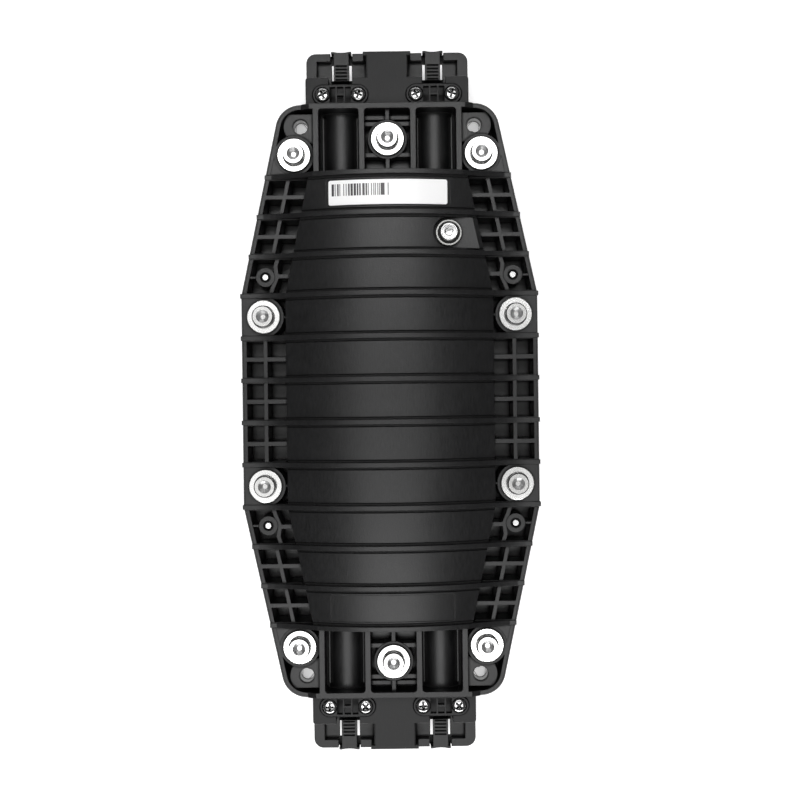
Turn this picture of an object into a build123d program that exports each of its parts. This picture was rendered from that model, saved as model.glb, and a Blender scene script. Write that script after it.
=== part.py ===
"""Inline fibre splice closure: two ribbed shell halves bolted face to face, with a cable bracket at
each end and splice trays inside. Millimetres, X across, Y along the closure, Z up from the surface
it lies on."""
import os
from math import atan2, degrees, sqrt

from build123d import *

os.makedirs("parts", exist_ok=True)

# Housing outline
SHELL_LEN = 358.0
SHELL_W = 179.0
STRAIGHT_LEN = 128.0  # run along which the sides are parallel
TAPER = 0.215  # how far each side runs in per millimetre beyond that
CORNER_R = 15.0
PART_Z = 36.5  # height of the plane where the halves meet

# Heights above that plane, and wall sizes
FLANGE_T = 3.0
RAIL_H = 22.0
RAIL_T = 3.0
RAIL_CHAMFER = 0.9
RIB_CREST = 38.0
PAD_CREST = 36.1
DOME_CREST = 35.4
DOME_R = 159.5
DOME_INBOARD = 26.9  # side of the dome, from the edge of the housing
DOME_END = 136.0
WALL = 3.0
ARC_Z = DOME_CREST - DOME_R  # common centre of all the dome arcs

# Cross ribs, and the webs between them
RIB_Y = (12.75, 38.25, 63.75, 87.55, 111.35, 135.15)
RIB_T = 2.7
RIB_FOOT_T = 3.7
RIB_RUN = 29.5  # width of the hollow sweep from the dome down to the rail
RIB_SAG = 1.3
RIB_PROUD = 0.5  # past the edge of the housing, and above the rail
GROOVE = 1.3
PAD_EDGE = 0.5
WEB_T = 2.5
WEB_INBOARD = 14.3
DRAFT = 1.0

# End blocks and ports
END_WALL_T = 3.2
END_WALL_H = 25.0
END_FLOOR_Z = 11.0
END_RAIL_X = (15.5, 43.1)
END_RAIL_T = 3.4
SHOULDER_X = (47.0, 52.0)
WINDOW_R = 2.0
LEDGE_Y = 171.9
LEDGE_Z = 17.0
CROSS_RIB = 9.4  # each side of the middle bolts
PORT_X = 28.8
PORT_R = 12.2
PORT_OUTER_R = 15.2
PORT_RIB_X = 10.4  # thin ribs each side of a port
CABLE_R = 5.5

# Screws of the housing, with their distance in from its edge
BOLT_R = 4.0
BOLT_HOLE_R = 4.5
BOSS_R = 12.1
MID_BOSS_R = 11.8
SIDE_BOLT_Y = 51.0
SIDE_BOLT_INBOARD = 13.5
CORNER_BOLT_Y = 148.3
CORNER_BOLT_INBOARD = 14.9
MID_BOLT_Y = 157.5
HEAD_R = 6.5
HEAD_H = 8.0
SOCKET_AF = 6.0
WASHER_R = 10.1
WASHER_T = 1.6
INSERT_R = 6.0
INSERT_L = 12.0

# Corner bushes and locating pins
BUSH_Y = 166.2
BUSH_INBOARD = 14.9
BUSH_BORE_R = 4.2
BUSH_R = 4.7
BUSH_SUNK = 1.2
LOBE_R = 10.2
LOBE_H = 20.0
LOBE_TOP = 7.5  # flat side of a lobe, from the bush
PIN_Y = 75.0
PIN_INBOARD = 12.4
PIN_R = 2.05
PIN_BOSS_R = 5.75

# Seal
SEAL_INBOARD = 22.5
SEAL_W = 4.0
SEAL_DEPTH = 1.5
SEAL_END = 142.4

# Valve
VALVE_X, VALVE_Y = 36.0, 99.4
VALVE_PAD_Z = 28.6
VALVE_PAD_T = 5.0
VALVE_PAD_END = 52.5
VALVE_HOLE_R = 4.0
VALVE_STEM_L = 13.0
VALVE_R = 7.6

# Cable brackets
SHELF_Z = -8.0
SHELF_T = 7.5
SHELF_HALF_W = 51.0
SHELF_END = 219.4
SHELF_RIM = 4.8
PAN_DEPTH = 5.0
PAN_REACH = 15.6  # outer side of a pan, from the cable's axis
COVER_HALF_W = 50.3
COVER_END = 199.5
COVER_TOP = 9.0
NOSE_HALF_W = 12.6
NOSE_END = 215.2
NOSE_EAR = (2.1, 2.6)
CHANNEL_HALF_W = 7.3
SADDLE_Y = 188.5
SADDLE_PITCH = 11.05  # each screw from the cable's axis
SADDLE_R = 5.9
SADDLE_Z = CABLE_R + 0.4
SADDLE_H = 3.9
SADDLE_WALL = 1.2
TONGUE_W = 9.5
TONGUE_Z = -CABLE_R - 0.4
NOTCH_W = 13.9
SLOT_W = 1.6
GROOVES = 5
SCREW_R = 2.5
NUT_AF = 8.0
NUT_T = 4.0

# Label and its recess
LABEL_Y = 123.25
LABEL_SIZE = (70.6, 14.7)
RECESS_SIZE = (73.5, 15.9)
RECESS_DEPTH = 0.3
LABEL_T = 0.24

# Trays, and the frame that carries them
TRAY_W = 86.0
TRAY_L = 184.0
TRAY_CORNER_R = 18.0
TRAY_H = 10.0
TRAY_WALL = 1.5
TRAY_GAP = 0.3
SPOOL_Y = 50.0
SPOOL_R = 22.0
FRAME_Z = -14.0
FRAME_T = 2.0
FRAME_HALF_W = TRAY_W / 2 + 1
FRAME_HALF_L = DOME_END - WALL - 8
FRAME_TIP_HALF_W = 36.0
POST_R = 4.5
POST_XY = (FRAME_HALF_W - 6, TRAY_L / 2 + 8)
SMALL_SCREW_R = 1.6
CLAMP_SIZE = (14.0, 11.0)
CLAMP_H = 7.0
CLAMP_XY = (16.0, FRAME_HALF_L - 9)

CLEAR = 0.05
BOTH = (-1, 1)
HALF_LEN = SHELL_LEN / 2
DOME_HALF_W = SHELL_W / 2 - DOME_INBOARD


def half_width(y):
    """Half width of the housing at a distance y along it."""
    return SHELL_W / 2 - TAPER * max(0.0, abs(y) - STRAIGHT_LEN / 2)


def arc_height(x, radius):
    """Height of a dome arc at a distance from the middle."""
    return ARC_Z + sqrt(radius**2 - x**2)


SIDE_BOLT = (half_width(SIDE_BOLT_Y) - SIDE_BOLT_INBOARD, SIDE_BOLT_Y)
CORNER_BOLT = (half_width(CORNER_BOLT_Y) - CORNER_BOLT_INBOARD, CORNER_BOLT_Y)
BUSH_XY = (half_width(BUSH_Y) - BUSH_INBOARD, BUSH_Y)
PIN_XY = (half_width(PIN_Y) - PIN_INBOARD, PIN_Y)


def outline(inset=0.0):
    """Plan of the housing, drawn in by the inset."""
    with BuildSketch() as plan:
        with BuildLine():
            end = half_width(HALF_LEN)
            knee = STRAIGHT_LEN / 2
            Polyline(
                (-end, -HALF_LEN),
                (end, -HALF_LEN),
                (SHELL_W / 2, -knee),
                (SHELL_W / 2, knee),
                (end, HALF_LEN),
                (-end, HALF_LEN),
                (-SHELL_W / 2, knee),
                (-SHELL_W / 2, -knee),
                close=True,
            )
        make_face()
        rows = plan.vertices().group_by(Axis.Y)
        fillet(rows[0] + rows[-1], CORNER_R)
        if inset:
            offset(amount=-inset, mode=Mode.REPLACE)
    return plan.sketch


def dome_plan(inset=0.0):
    """Plan of the raised middle of a half."""
    side = DOME_HALF_W - inset
    knee = STRAIGHT_LEN / 2
    end = DOME_END - inset
    tip = side - TAPER * (end - knee)
    with BuildSketch() as plan:
        with BuildLine():
            Polyline(
                (-tip, -end),
                (tip, -end),
                (side, -knee),
                (side, knee),
                (tip, end),
                (-tip, end),
                (-side, knee),
                (-side, -knee),
                close=True,
            )
        make_face()
    return plan.sketch


def arc_section(radius):
    """Cross section under one arc of the dome, down to the meeting plane."""
    with BuildSketch() as section:
        with Locations((0, ARC_Z)):
            Circle(radius)
        with Locations((0, 50)):
            Rectangle(300, 100, mode=Mode.INTERSECT)
    return section.sketch


def domed(plan, radius):
    """Solid that fills a plan up to the arc of the given radius."""
    with BuildPart() as block:
        with BuildSketch():
            add(plan)
        extrude(amount=60)
        with BuildSketch(Plane.XZ):
            add(arc_section(radius))
        extrude(amount=HALF_LEN, both=True, mode=Mode.INTERSECT)
    return block.part


def rib_section(y):
    """Outline of a cross rib: dome arc, hollow sweep, and a flat run to the rail."""
    radius = DOME_R + RIB_CREST - DOME_CREST
    half = half_width(y) + RIB_PROUD
    top = RAIL_H + RIB_PROUD
    start = half - RIB_RUN
    start_z = arc_height(start, radius)
    stop = half - 4.0
    mid = (start + stop) / 2
    mid_z = (start_z + top) / 2 - RIB_SAG
    with BuildSketch() as section:
        with BuildLine():
            ThreePointArc((-start, start_z), (0, RIB_CREST), (start, start_z))
            ThreePointArc((start, start_z), (mid, mid_z), (stop, top))
            Polyline((stop, top), (half, top), (half, 0), (-half, 0), (-half, top), (-stop, top))
            ThreePointArc((-stop, top), (-mid, mid_z), (-start, start_z))
        make_face()
    return section.sketch


def bays():
    """Middle and width of each gap between neighbouring ribs."""
    edges = [-y for y in reversed(RIB_Y)] + list(RIB_Y)
    return [((a + b) / 2, b - a) for a, b in zip(edges, edges[1:])]


def seal_path(width):
    """Plan of the ring groove that runs inside the bolts."""
    with BuildSketch() as ring:
        add(outline(SEAL_INBOARD - width / 2))
        Rectangle(SHELL_W, 2 * SEAL_END + width, mode=Mode.INTERSECT)
        add(outline(SEAL_INBOARD + width / 2), mode=Mode.SUBTRACT)
    with BuildSketch() as closing:
        with Locations((0, SEAL_END), (0, -SEAL_END)):
            Rectangle(SHELL_W, width)
        add(outline(SEAL_INBOARD - width / 2), mode=Mode.INTERSECT)
    with BuildSketch() as path:
        add(ring.sketch)
        add(closing.sketch)
    return path.sketch


def both_ends(x, y):
    """The four mirrored places of a point."""
    return [(sx * x, sy * y) for sx in BOTH for sy in BOTH]


SIDE_XY = both_ends(*SIDE_BOLT)
BOLT_XY = SIDE_XY + both_ends(*CORNER_BOLT) + [(0, MID_BOLT_Y), (0, -MID_BOLT_Y)]
SADDLE_XY = both_ends(PORT_X, SADDLE_Y)
SCREW_XY = [(x + s * SADDLE_PITCH, y) for x, y in SADDLE_XY for s in BOTH]


def is_bay(middle, y):
    """Whether a bay lies at a given distance along the housing, on either side."""
    return abs(abs(middle) - abs(y)) < 1


def pocket_bays():
    """The bays whose sides have four pockets each."""
    return [b for b in bays() if not is_bay(b[0], SIDE_BOLT_Y) and not is_bay(b[0], PIN_Y)]


def pads():
    """Pads on the dome between the ribs, with chamfered edges along the ribs."""
    with BuildPart() as strip:
        add(domed(dome_plan(), DOME_R + PAD_CREST - DOME_CREST))
        with BuildSketch(Plane.XY):
            for middle, width in bays():
                with Locations((0, middle)):
                    Rectangle(SHELL_W, width - RIB_T - 2 * GROOVE)
        extrude(amount=60, mode=Mode.INTERSECT)
        chamfer(strip.edges().filter_by(GeomType.CIRCLE), PAD_EDGE)
    return strip.part


def ribs():
    """Cross ribs, the middle ones alike and the others narrower toward the ends."""
    straight = [y for y in RIB_Y if y < STRAIGHT_LEN / 2]
    tapered = [y for y in RIB_Y if y > STRAIGHT_LEN / 2]
    with BuildPart() as rack:
        with BuildSketch(*[Plane.XZ.offset(s * y) for y in straight for s in BOTH]):
            add(rib_section(0))
        extrude(amount=RIB_T / 2, both=True)
        for y in tapered:
            with BuildSketch(Plane.XZ.offset(y), Plane.XZ.offset(-y)):
                add(rib_section(y + RIB_T / 2))
            extrude(amount=RIB_T / 2, both=True)
    return rack.part


def rim_plan():
    """Rail round the edge."""
    with BuildSketch() as rim:
        add(outline())
        add(outline(RAIL_T), mode=Mode.SUBTRACT)
    return rim.sketch


def rail_plan():
    """Everything that stands as high as the rail: side blocks, plateaus, bosses and rib feet."""
    with BuildSketch() as plan:
        for middle, width in pocket_bays():
            with Locations((0, middle)):
                Rectangle(SHELL_W, width)
        for y in RIB_Y:
            with Locations((0, y), (0, -y)):
                Rectangle(SHELL_W, RIB_FOOT_T)
        for x, y in SIDE_XY:
            with Locations((x + (SIDE_BOLT_INBOARD / 2 if x > 0 else -SIDE_BOLT_INBOARD / 2), y)):
                Rectangle(SIDE_BOLT_INBOARD, RIB_Y[2] - RIB_Y[1])
        with Locations(SIDE_XY + both_ends(*CORNER_BOLT)):
            Circle(BOSS_R)
        with Locations((0, MID_BOLT_Y), (0, -MID_BOLT_Y)):
            Circle(MID_BOSS_R)
        with Locations(both_ends(*PIN_XY)):
            Circle(PIN_BOSS_R)
        add(outline(), mode=Mode.INTERSECT)
        add(rim_plan())
    return plan.sketch


def side_blocks():
    """The rail and what stands as high, with a chamfer round the outer edge."""
    block = prism(rail_plan(), RAIL_H)
    top = block.faces().filter_by(Axis.Z).group_by(Axis.Z)[-1].sort_by(SortBy.AREA)[-1]
    return block.chamfer(RAIL_CHAMFER, None, top.outer_wire().edges())


def pockets():
    """Deep pockets beside the dome, four to a side in each bay, a little narrower at the floor."""
    with BuildPart() as cells:
        for middle, width in pocket_bays():
            for side in BOTH:
                near = middle + side * WEB_T / 2
                far = middle + side * (width - RIB_FOOT_T) / 2
                for inner, outer in ((DOME_INBOARD, WEB_INBOARD + WEB_T / 2), (WEB_INBOARD - WEB_T / 2, RAIL_T)):
                    with BuildSketch(Plane.XY.offset(RAIL_H)):
                        with BuildLine():
                            Polyline(
                                (half_width(near) - inner, near),
                                (half_width(near) - outer, near),
                                (half_width(far) - outer, far),
                                (half_width(far) - inner, far),
                                close=True,
                            )
                        make_face()
        extrude(amount=-(RAIL_H - FLANGE_T), taper=DRAFT)
        mirror(about=Plane.YZ)
    return cells.part


def bar_between(a, b, width):
    """Straight bar in plan from one point to another, a little longer at both ends."""
    run = Vector(b[0] - a[0], b[1] - a[1])
    with BuildSketch() as bar:
        Rectangle(run.length + width / 2, width)
    turn = degrees(atan2(run.Y, run.X))
    return bar.sketch.moved(Location(((a[0] + b[0]) / 2, (a[1] + b[1]) / 2, 0), (0, 0, turn)))


def web_plan():
    """Webs round the locating pins and the side bolts, and round the middle bolts."""
    with BuildSketch() as plan:
        for middle, _ in bays():
            if is_bay(middle, PIN_Y):
                with Locations((0, middle)):
                    Rectangle(2 * PIN_XY[0] - 2 * PIN_BOSS_R, WEB_T)
            if is_bay(middle, SIDE_BOLT_Y):
                with Locations((0, middle)):
                    Rectangle(2 * SIDE_BOLT[0] - 2 * BOSS_R + 2, WEB_T / 2)
        for x, y in both_ends(*PIN_XY):
            out = 1 if x > 0 else -1
            far = 1 if y > 0 else -1
            start = (x - out * 7.0, y)
            for run in BOTH:
                knee = (x - out * (5.2 + 0.9 * run), y + far * run * 6.5)
                foot = (x - out * (5.2 + 2.6 * run), y + far * run * 12.0)
                add(bar_between(start, knee, WEB_T))
                add(bar_between(knee, foot, WEB_T))
            add(bar_between((x, y), (x + out * (PIN_INBOARD - RAIL_T / 2), y), WEB_T / 2))
        for side in BOTH:
            with Locations((0, side * (MID_BOLT_Y - CROSS_RIB)), (0, side * (MID_BOLT_Y + CROSS_RIB))):
                Rectangle(2 * END_RAIL_X[0], WEB_T)
            with Locations((0, side * (DOME_END + HALF_LEN) / 2)):
                Rectangle(WEB_T, HALF_LEN - DOME_END)
    return plan.sketch


def end_plan(windows):
    """Block over the ports at each end, whole or with its three windows."""
    run = HALF_LEN - DOME_END
    rails = END_RAIL_X
    with BuildSketch() as plan:
        with Locations((0, DOME_END + run / 2), (0, -DOME_END - run / 2)):
            Rectangle(2 * rails[1] + END_RAIL_T, run)
        if windows:
            middle = HALF_LEN - END_WALL_T - run / 2
            with Locations((0, middle), (0, -middle)):
                RectangleRounded(2 * rails[0] - END_RAIL_T, run, WINDOW_R, mode=Mode.SUBTRACT)
            with Locations(both_ends((rails[0] + rails[1]) / 2, middle)):
                RectangleRounded(rails[1] - rails[0] - END_RAIL_T, run, WINDOW_R, mode=Mode.SUBTRACT)
    return plan.sketch


def thin_rib_plan():
    """Thin ribs each side of the ports."""
    run = HALF_LEN - DOME_END - END_WALL_T - 3.0
    with BuildSketch() as plan:
        for x in (PORT_X - PORT_RIB_X, PORT_X + PORT_RIB_X):
            with Locations(both_ends(x, DOME_END + run / 2)):
                Rectangle(1.0, run)
    return plan.sketch


def ledge_plan():
    """Low ledges inside the middle windows."""
    with BuildSketch() as plan:
        with Locations((0, LEDGE_Y), (0, -LEDGE_Y)):
            Rectangle(2 * END_RAIL_X[0], WEB_T)
    return plan.sketch


def prism(plan, height):
    """Plan drawn up from the meeting plane."""
    with BuildPart() as block:
        with BuildSketch():
            add(plan)
        extrude(amount=height)
    return block.part


def end_walls():
    """End walls, taller over the cable ports."""
    low, high = SHOULDER_X[1], SHOULDER_X[0]
    with BuildPart() as walls:
        with BuildSketch(*[Plane.XZ.offset(s * (HALF_LEN - END_WALL_T / 2)) for s in BOTH]):
            with BuildLine():
                Polyline((-low, 0), (-low, RAIL_H), (-high, END_WALL_H), (high, END_WALL_H))
                Polyline((high, END_WALL_H), (low, RAIL_H), (low, 0), (-low, 0))
            make_face()
        extrude(amount=END_WALL_T / 2, both=True)
    return walls.part


def port_tubes():
    """Half tubes round the four cable ports, still solid."""
    with BuildPart() as tubes:
        with BuildSketch(*[Plane.XZ.offset(s * (DOME_END + HALF_LEN) / 2) for s in BOTH]):
            with Locations((PORT_X, 0), (-PORT_X, 0)):
                Circle(PORT_OUTER_R)
            with Locations((0, 50)):
                Rectangle(SHELL_W, 100, mode=Mode.INTERSECT)
        extrude(amount=(HALF_LEN - DOME_END) / 2 - 0.5, both=True)
    return tubes.part


def lobe_plan():
    """Bosses round the corner bushes, flat toward the end wall and joined to the rail beside them."""
    inner = END_RAIL_X[1]
    with BuildSketch() as plan:
        with Locations(both_ends(*BUSH_XY)):
            Circle(LOBE_R)
        with Locations(both_ends((inner + BUSH_XY[0]) / 2, BUSH_Y)):
            Rectangle(BUSH_XY[0] - inner, 2 * LOBE_R)
        Rectangle(SHELL_W, 2 * (BUSH_Y + LOBE_TOP), mode=Mode.INTERSECT)
    return plan.sketch


def cutters():
    """Hollow, cable ports, seal groove, and the holes that both halves share."""
    with BuildPart() as ports:
        with BuildSketch(Plane.XZ):
            with Locations((PORT_X, 0), (-PORT_X, 0)):
                Circle(PORT_R)
        extrude(amount=HALF_LEN + 1, both=True)
    with BuildPart() as holes:
        with BuildSketch():
            with Locations(both_ends(*PIN_XY)):
                Circle(PIN_R)
            with Locations(both_ends(*BUSH_XY)):
                Circle(BUSH_R)
        extrude(amount=RAIL_H + 1)
        with BuildSketch(Plane.XY.offset(RAIL_H - 1.5)):
            with Locations(both_ends(*PIN_XY)):
                Circle(PIN_R + 1.0)
        extrude(amount=2)
    hollow = domed(dome_plan(WALL), DOME_R - WALL)
    return [hollow, ports.part, holes.part, prism(seal_path(SEAL_W), SEAL_DEPTH)]


def make_half():
    """One half of the housing, lying on the meeting plane."""
    solids = [
        side_blocks(),
        prism(web_plan(), RAIL_H - 0.3),
        prism(end_plan(windows=False), END_FLOOR_Z),
        prism(end_plan(windows=True), END_WALL_H),
        prism(thin_rib_plan(), END_FLOOR_Z + 2.5),
        prism(ledge_plan(), LEDGE_Z),
        prism(lobe_plan(), LOBE_H),
        end_walls(),
        port_tubes(),
        domed(dome_plan(), DOME_R),
        pads(),
        ribs(),
    ]
    return prism(outline(), FLANGE_T) + solids - [pockets()] - cutters()


def save(part, name):
    """Name a piece and write it out."""
    part.label = name
    export_step(part, f"parts/{name}.step")


def skin(size, corner, inner, outer, y):
    """Thin curved patch between two arcs of the dome."""
    with BuildSketch() as plan:
        with Locations((0, y)):
            RectangleRounded(*size, corner)
    return domed(plan.sketch, outer) - domed(plan.sketch, inner)


def raised(part, z=0.0):
    """Piece moved up from the meeting plane."""
    return part.moved(Location((0, 0, PART_Z + z)))


PAD_R = DOME_R + PAD_CREST - DOME_CREST
half = make_half()

# Upper half: valve seat, bolt holes, and a recess for a label at each end
bay_w = RIB_Y[4] - RIB_Y[3] - RIB_T - 2 * GROOVE
with BuildPart() as valve_pad:
    with BuildSketch():
        with Locations((VALVE_X, VALVE_Y)):
            Circle(bay_w / 2)
        with BuildLine():
            slant = TAPER * bay_w / 2
            Polyline(
                (VALVE_X, VALVE_Y - bay_w / 2),
                (VALVE_PAD_END + slant, VALVE_Y - bay_w / 2),
                (VALVE_PAD_END - slant, VALVE_Y + bay_w / 2),
                (VALVE_X, VALVE_Y + bay_w / 2),
                close=True,
            )
        make_face()
    extrude(amount=-VALVE_PAD_T)
with BuildPart() as valve_cut:
    with BuildSketch():
        with Locations((VALVE_X, VALVE_Y)):
            Circle(bay_w / 2)
        with Locations((VALVE_X + 12, VALVE_Y)):
            Rectangle(24, bay_w)
    extrude(amount=12)
    with Locations((VALVE_X, VALVE_Y, 0)):
        Cylinder(VALVE_HOLE_R + CLEAR, 20)
with BuildPart() as bolt_holes:
    with BuildSketch():
        with Locations(BOLT_XY):
            Circle(BOLT_HOLE_R)
    extrude(amount=RAIL_H + 1)
recesses = [
    skin(RECESS_SIZE, 1.6, PAD_R - RECESS_DEPTH, PAD_R + 1, side * LABEL_Y) for side in BOTH
]
at_valve = Location((0, 0, VALVE_PAD_Z))
upper = half + valve_pad.part.moved(at_valve)
upper = upper - [valve_cut.part.moved(at_valve), bolt_holes.part, *recesses]
upper_shell = raised(upper)
save(upper_shell, "upper_shell")

# Lower half: shelves for the cable brackets, posts for the tray frame, and sockets for the inserts
pan_run = SHELF_END - SHELF_RIM - COVER_END
pan_y = COVER_END + pan_run / 2
tongue_start = COVER_END + 2.0
pan_sides = ((PORT_X, PORT_X + PAN_REACH), (NOSE_HALF_W + 0.6, PORT_X))
slot_x = (TONGUE_W + SLOT_W) / 2
with BuildPart() as shelves:
    with BuildSketch(Plane.XY.offset(SHELF_Z - SHELF_T)) as shelf_plan:
        for side in BOTH:
            with Locations((0, side * (HALF_LEN - 1 + SHELF_END) / 2)):
                Rectangle(2 * SHELF_HALF_W, SHELF_END - HALF_LEN + 1)
        rows = shelf_plan.vertices().group_by(Axis.Y)
        fillet(rows[0] + rows[-1], 6.0)
    extrude(amount=SHELF_T)
    with BuildSketch(Plane.XY.offset(SHELF_Z)):
        for low, high in pan_sides:
            with Locations(both_ends((low + high) / 2, pan_y)):
                Rectangle(high - low, pan_run)
        with Locations(both_ends(PORT_X, SHELF_END - SHELF_RIM)):
            Rectangle(NOTCH_W, 2 * SHELF_RIM)
    extrude(amount=-PAN_DEPTH, mode=Mode.SUBTRACT)
    with BuildSketch(Plane.XY.offset(SHELF_Z - SHELF_T)):
        with Locations(both_ends(PORT_X - slot_x, pan_y) + both_ends(PORT_X + slot_x, pan_y)):
            Rectangle(SLOT_W, pan_run - 1.0)
    extrude(amount=SHELF_T, mode=Mode.SUBTRACT)
    with BuildSketch(Plane.XY.offset(SHELF_Z - SHELF_T)):
        for side in BOTH:
            with Locations(both_ends(PORT_X, (tongue_start + SHELF_END) / 2)):
                Rectangle(TONGUE_W, SHELF_END - tongue_start)
            with Locations(both_ends(PORT_X, SHELF_END)):
                Rectangle(NOTCH_W - 1.2, 1.2)
            with Locations(both_ends(PORT_X, SHELF_END + 22)):
                Circle(22, mode=Mode.SUBTRACT)
    extrude(amount=TONGUE_Z - SHELF_Z + SHELF_T)
    with BuildSketch(Plane.XY.offset(TONGUE_Z)):
        for step in range(GROOVES):
            with Locations(both_ends(PORT_X, tongue_start + 0.9 + step * pan_run / (GROOVES + 2))):
                Rectangle(TONGUE_W - 2.4, 1.0)
    extrude(amount=-1.2, mode=Mode.SUBTRACT)
with BuildPart() as shelf_holes:
    with BuildSketch(Plane.XY.offset(SHELF_Z - SHELF_T)):
        with Locations(SCREW_XY):
            Circle(SCREW_R + 0.2)
    extrude(amount=SHELF_T)
    with BuildSketch(Plane.XY.offset(SHELF_Z - SHELF_T)):
        with Locations(SCREW_XY):
            RegularPolygon(NUT_AF / 2 + 0.1, 6, major_radius=False)
    extrude(amount=NUT_T)
with BuildPart() as posts:
    foot_z = WALL / 2 - arc_height(POST_XY[0], DOME_R)
    with BuildSketch(Plane.XY.offset(FRAME_Z - FRAME_T)):
        with Locations(both_ends(*POST_XY)):
            Circle(POST_R)
    extrude(amount=foot_z - FRAME_Z + FRAME_T)
with BuildPart() as sockets:
    with BuildSketch():
        with Locations(BOLT_XY):
            Circle(INSERT_R + CLEAR)
    extrude(amount=-INSERT_L - 0.1)
    with BuildSketch(Plane.XY.offset(FRAME_Z - FRAME_T)):
        with Locations(both_ends(*POST_XY)):
            Circle(SMALL_SCREW_R + CLEAR)
    extrude(amount=-8)
with BuildPart() as floor:
    with Locations((0, 0, -PART_Z)):
        Box(SHELL_W + 10, SHELL_LEN, 10, align=(Align.CENTER, Align.CENTER, Align.MAX))
lower = half.mirror(Plane.XY) + [shelves.part, posts.part]
lower_shell = raised(lower - [shelf_holes.part, sockets.part, floor.part])
save(lower_shell, "lower_shell")

# Rope seal, broken where the cable grommets cross it
with BuildPart() as shell_gasket:
    with BuildSketch(Plane.XY.offset(PART_Z)):
        add(seal_path(SEAL_W - 0.2))
    extrude(amount=SEAL_DEPTH - 0.1, both=True)
    with BuildSketch(Plane.XZ):
        with Locations((PORT_X, PART_Z), (-PORT_X, PART_Z)):
            Circle(PORT_R)
    extrude(amount=HALF_LEN, both=True, mode=Mode.SUBTRACT)
save(shell_gasket.part, "shell_gasket")

# Housing screws, washers, inserts, corner bushes and locating pins
seat_z = PART_Z + RAIL_H
with BuildPart() as shell_bolts:
    with BuildSketch(Plane.XY.offset(PART_Z - INSERT_L + 0.4)):
        with Locations(BOLT_XY):
            Circle(BOLT_R)
    extrude(amount=RAIL_H + WASHER_T + INSERT_L)
    with BuildSketch(Plane.XY.offset(seat_z + WASHER_T)):
        with Locations(BOLT_XY):
            Circle(HEAD_R)
    extrude(amount=HEAD_H)
    chamfer(shell_bolts.faces().filter_by(Axis.Z).group_by(Axis.Z)[-1].edges(), 0.7)
    with BuildSketch(Plane.XY.offset(seat_z + WASHER_T + HEAD_H)):
        with Locations(BOLT_XY):
            RegularPolygon(SOCKET_AF / 2, 6, major_radius=False)
    extrude(amount=-4.5, mode=Mode.SUBTRACT)
save(shell_bolts.part, "shell_bolts")

with BuildPart() as flat_washers:
    with BuildSketch(Plane.XY.offset(seat_z)):
        with Locations(BOLT_XY):
            Circle(WASHER_R)
            Circle(BOLT_R + 0.2, mode=Mode.SUBTRACT)
    extrude(amount=WASHER_T)
    rims = flat_washers.edges().filter_by(GeomType.CIRCLE).group_by(SortBy.RADIUS)[-1]
    chamfer(rims.group_by(Axis.Z)[-1], 0.4)
save(flat_washers.part, "flat_washers")

with BuildPart() as threaded_inserts:
    with BuildSketch(Plane.XY.offset(PART_Z)):
        with Locations(BOLT_XY):
            Circle(INSERT_R)
            Circle(BOLT_R + CLEAR, mode=Mode.SUBTRACT)
    extrude(amount=-INSERT_L)
save(threaded_inserts.part, "threaded_inserts")

with BuildPart() as corner_bushes:
    with BuildSketch(Plane.XY.offset(PART_Z)):
        with Locations(both_ends(*BUSH_XY)):
            Circle(BUSH_R - CLEAR)
            Circle(BUSH_BORE_R, mode=Mode.SUBTRACT)
    extrude(amount=LOBE_H - BUSH_SUNK, both=True)
save(corner_bushes.part, "corner_bushes")

with BuildPart() as locating_pins:
    with BuildSketch(Plane.XY.offset(PART_Z)):
        with Locations(both_ends(*PIN_XY)):
            Circle(PIN_R - CLEAR)
    extrude(amount=RAIL_H, both=True)
    tips = locating_pins.faces().filter_by(Axis.Z).edges()
    chamfer(tips, 0.3)
save(locating_pins.part, "locating_pins")

# Cable grommets, one in each port
with BuildPart() as cable_grommets:
    mid = (DOME_END + HALF_LEN) / 2
    with BuildSketch(Plane.XZ.offset(mid), Plane.XZ.offset(-mid)):
        with Locations((PORT_X, PART_Z), (-PORT_X, PART_Z)):
            Circle(PORT_R - CLEAR)
            Circle(CABLE_R, mode=Mode.SUBTRACT)
    extrude(amount=20, both=True)
    with BuildSketch(Plane.XZ.offset(mid + 8), Plane.XZ.offset(-mid - 8)):
        with Locations((PORT_X, PART_Z), (-PORT_X, PART_Z)):
            Circle(PORT_R)
            Circle(PORT_R - 1.2, mode=Mode.SUBTRACT)
    extrude(amount=1.5, both=True, mode=Mode.SUBTRACT)
save(cable_grommets.part, "cable_grommets")

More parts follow.
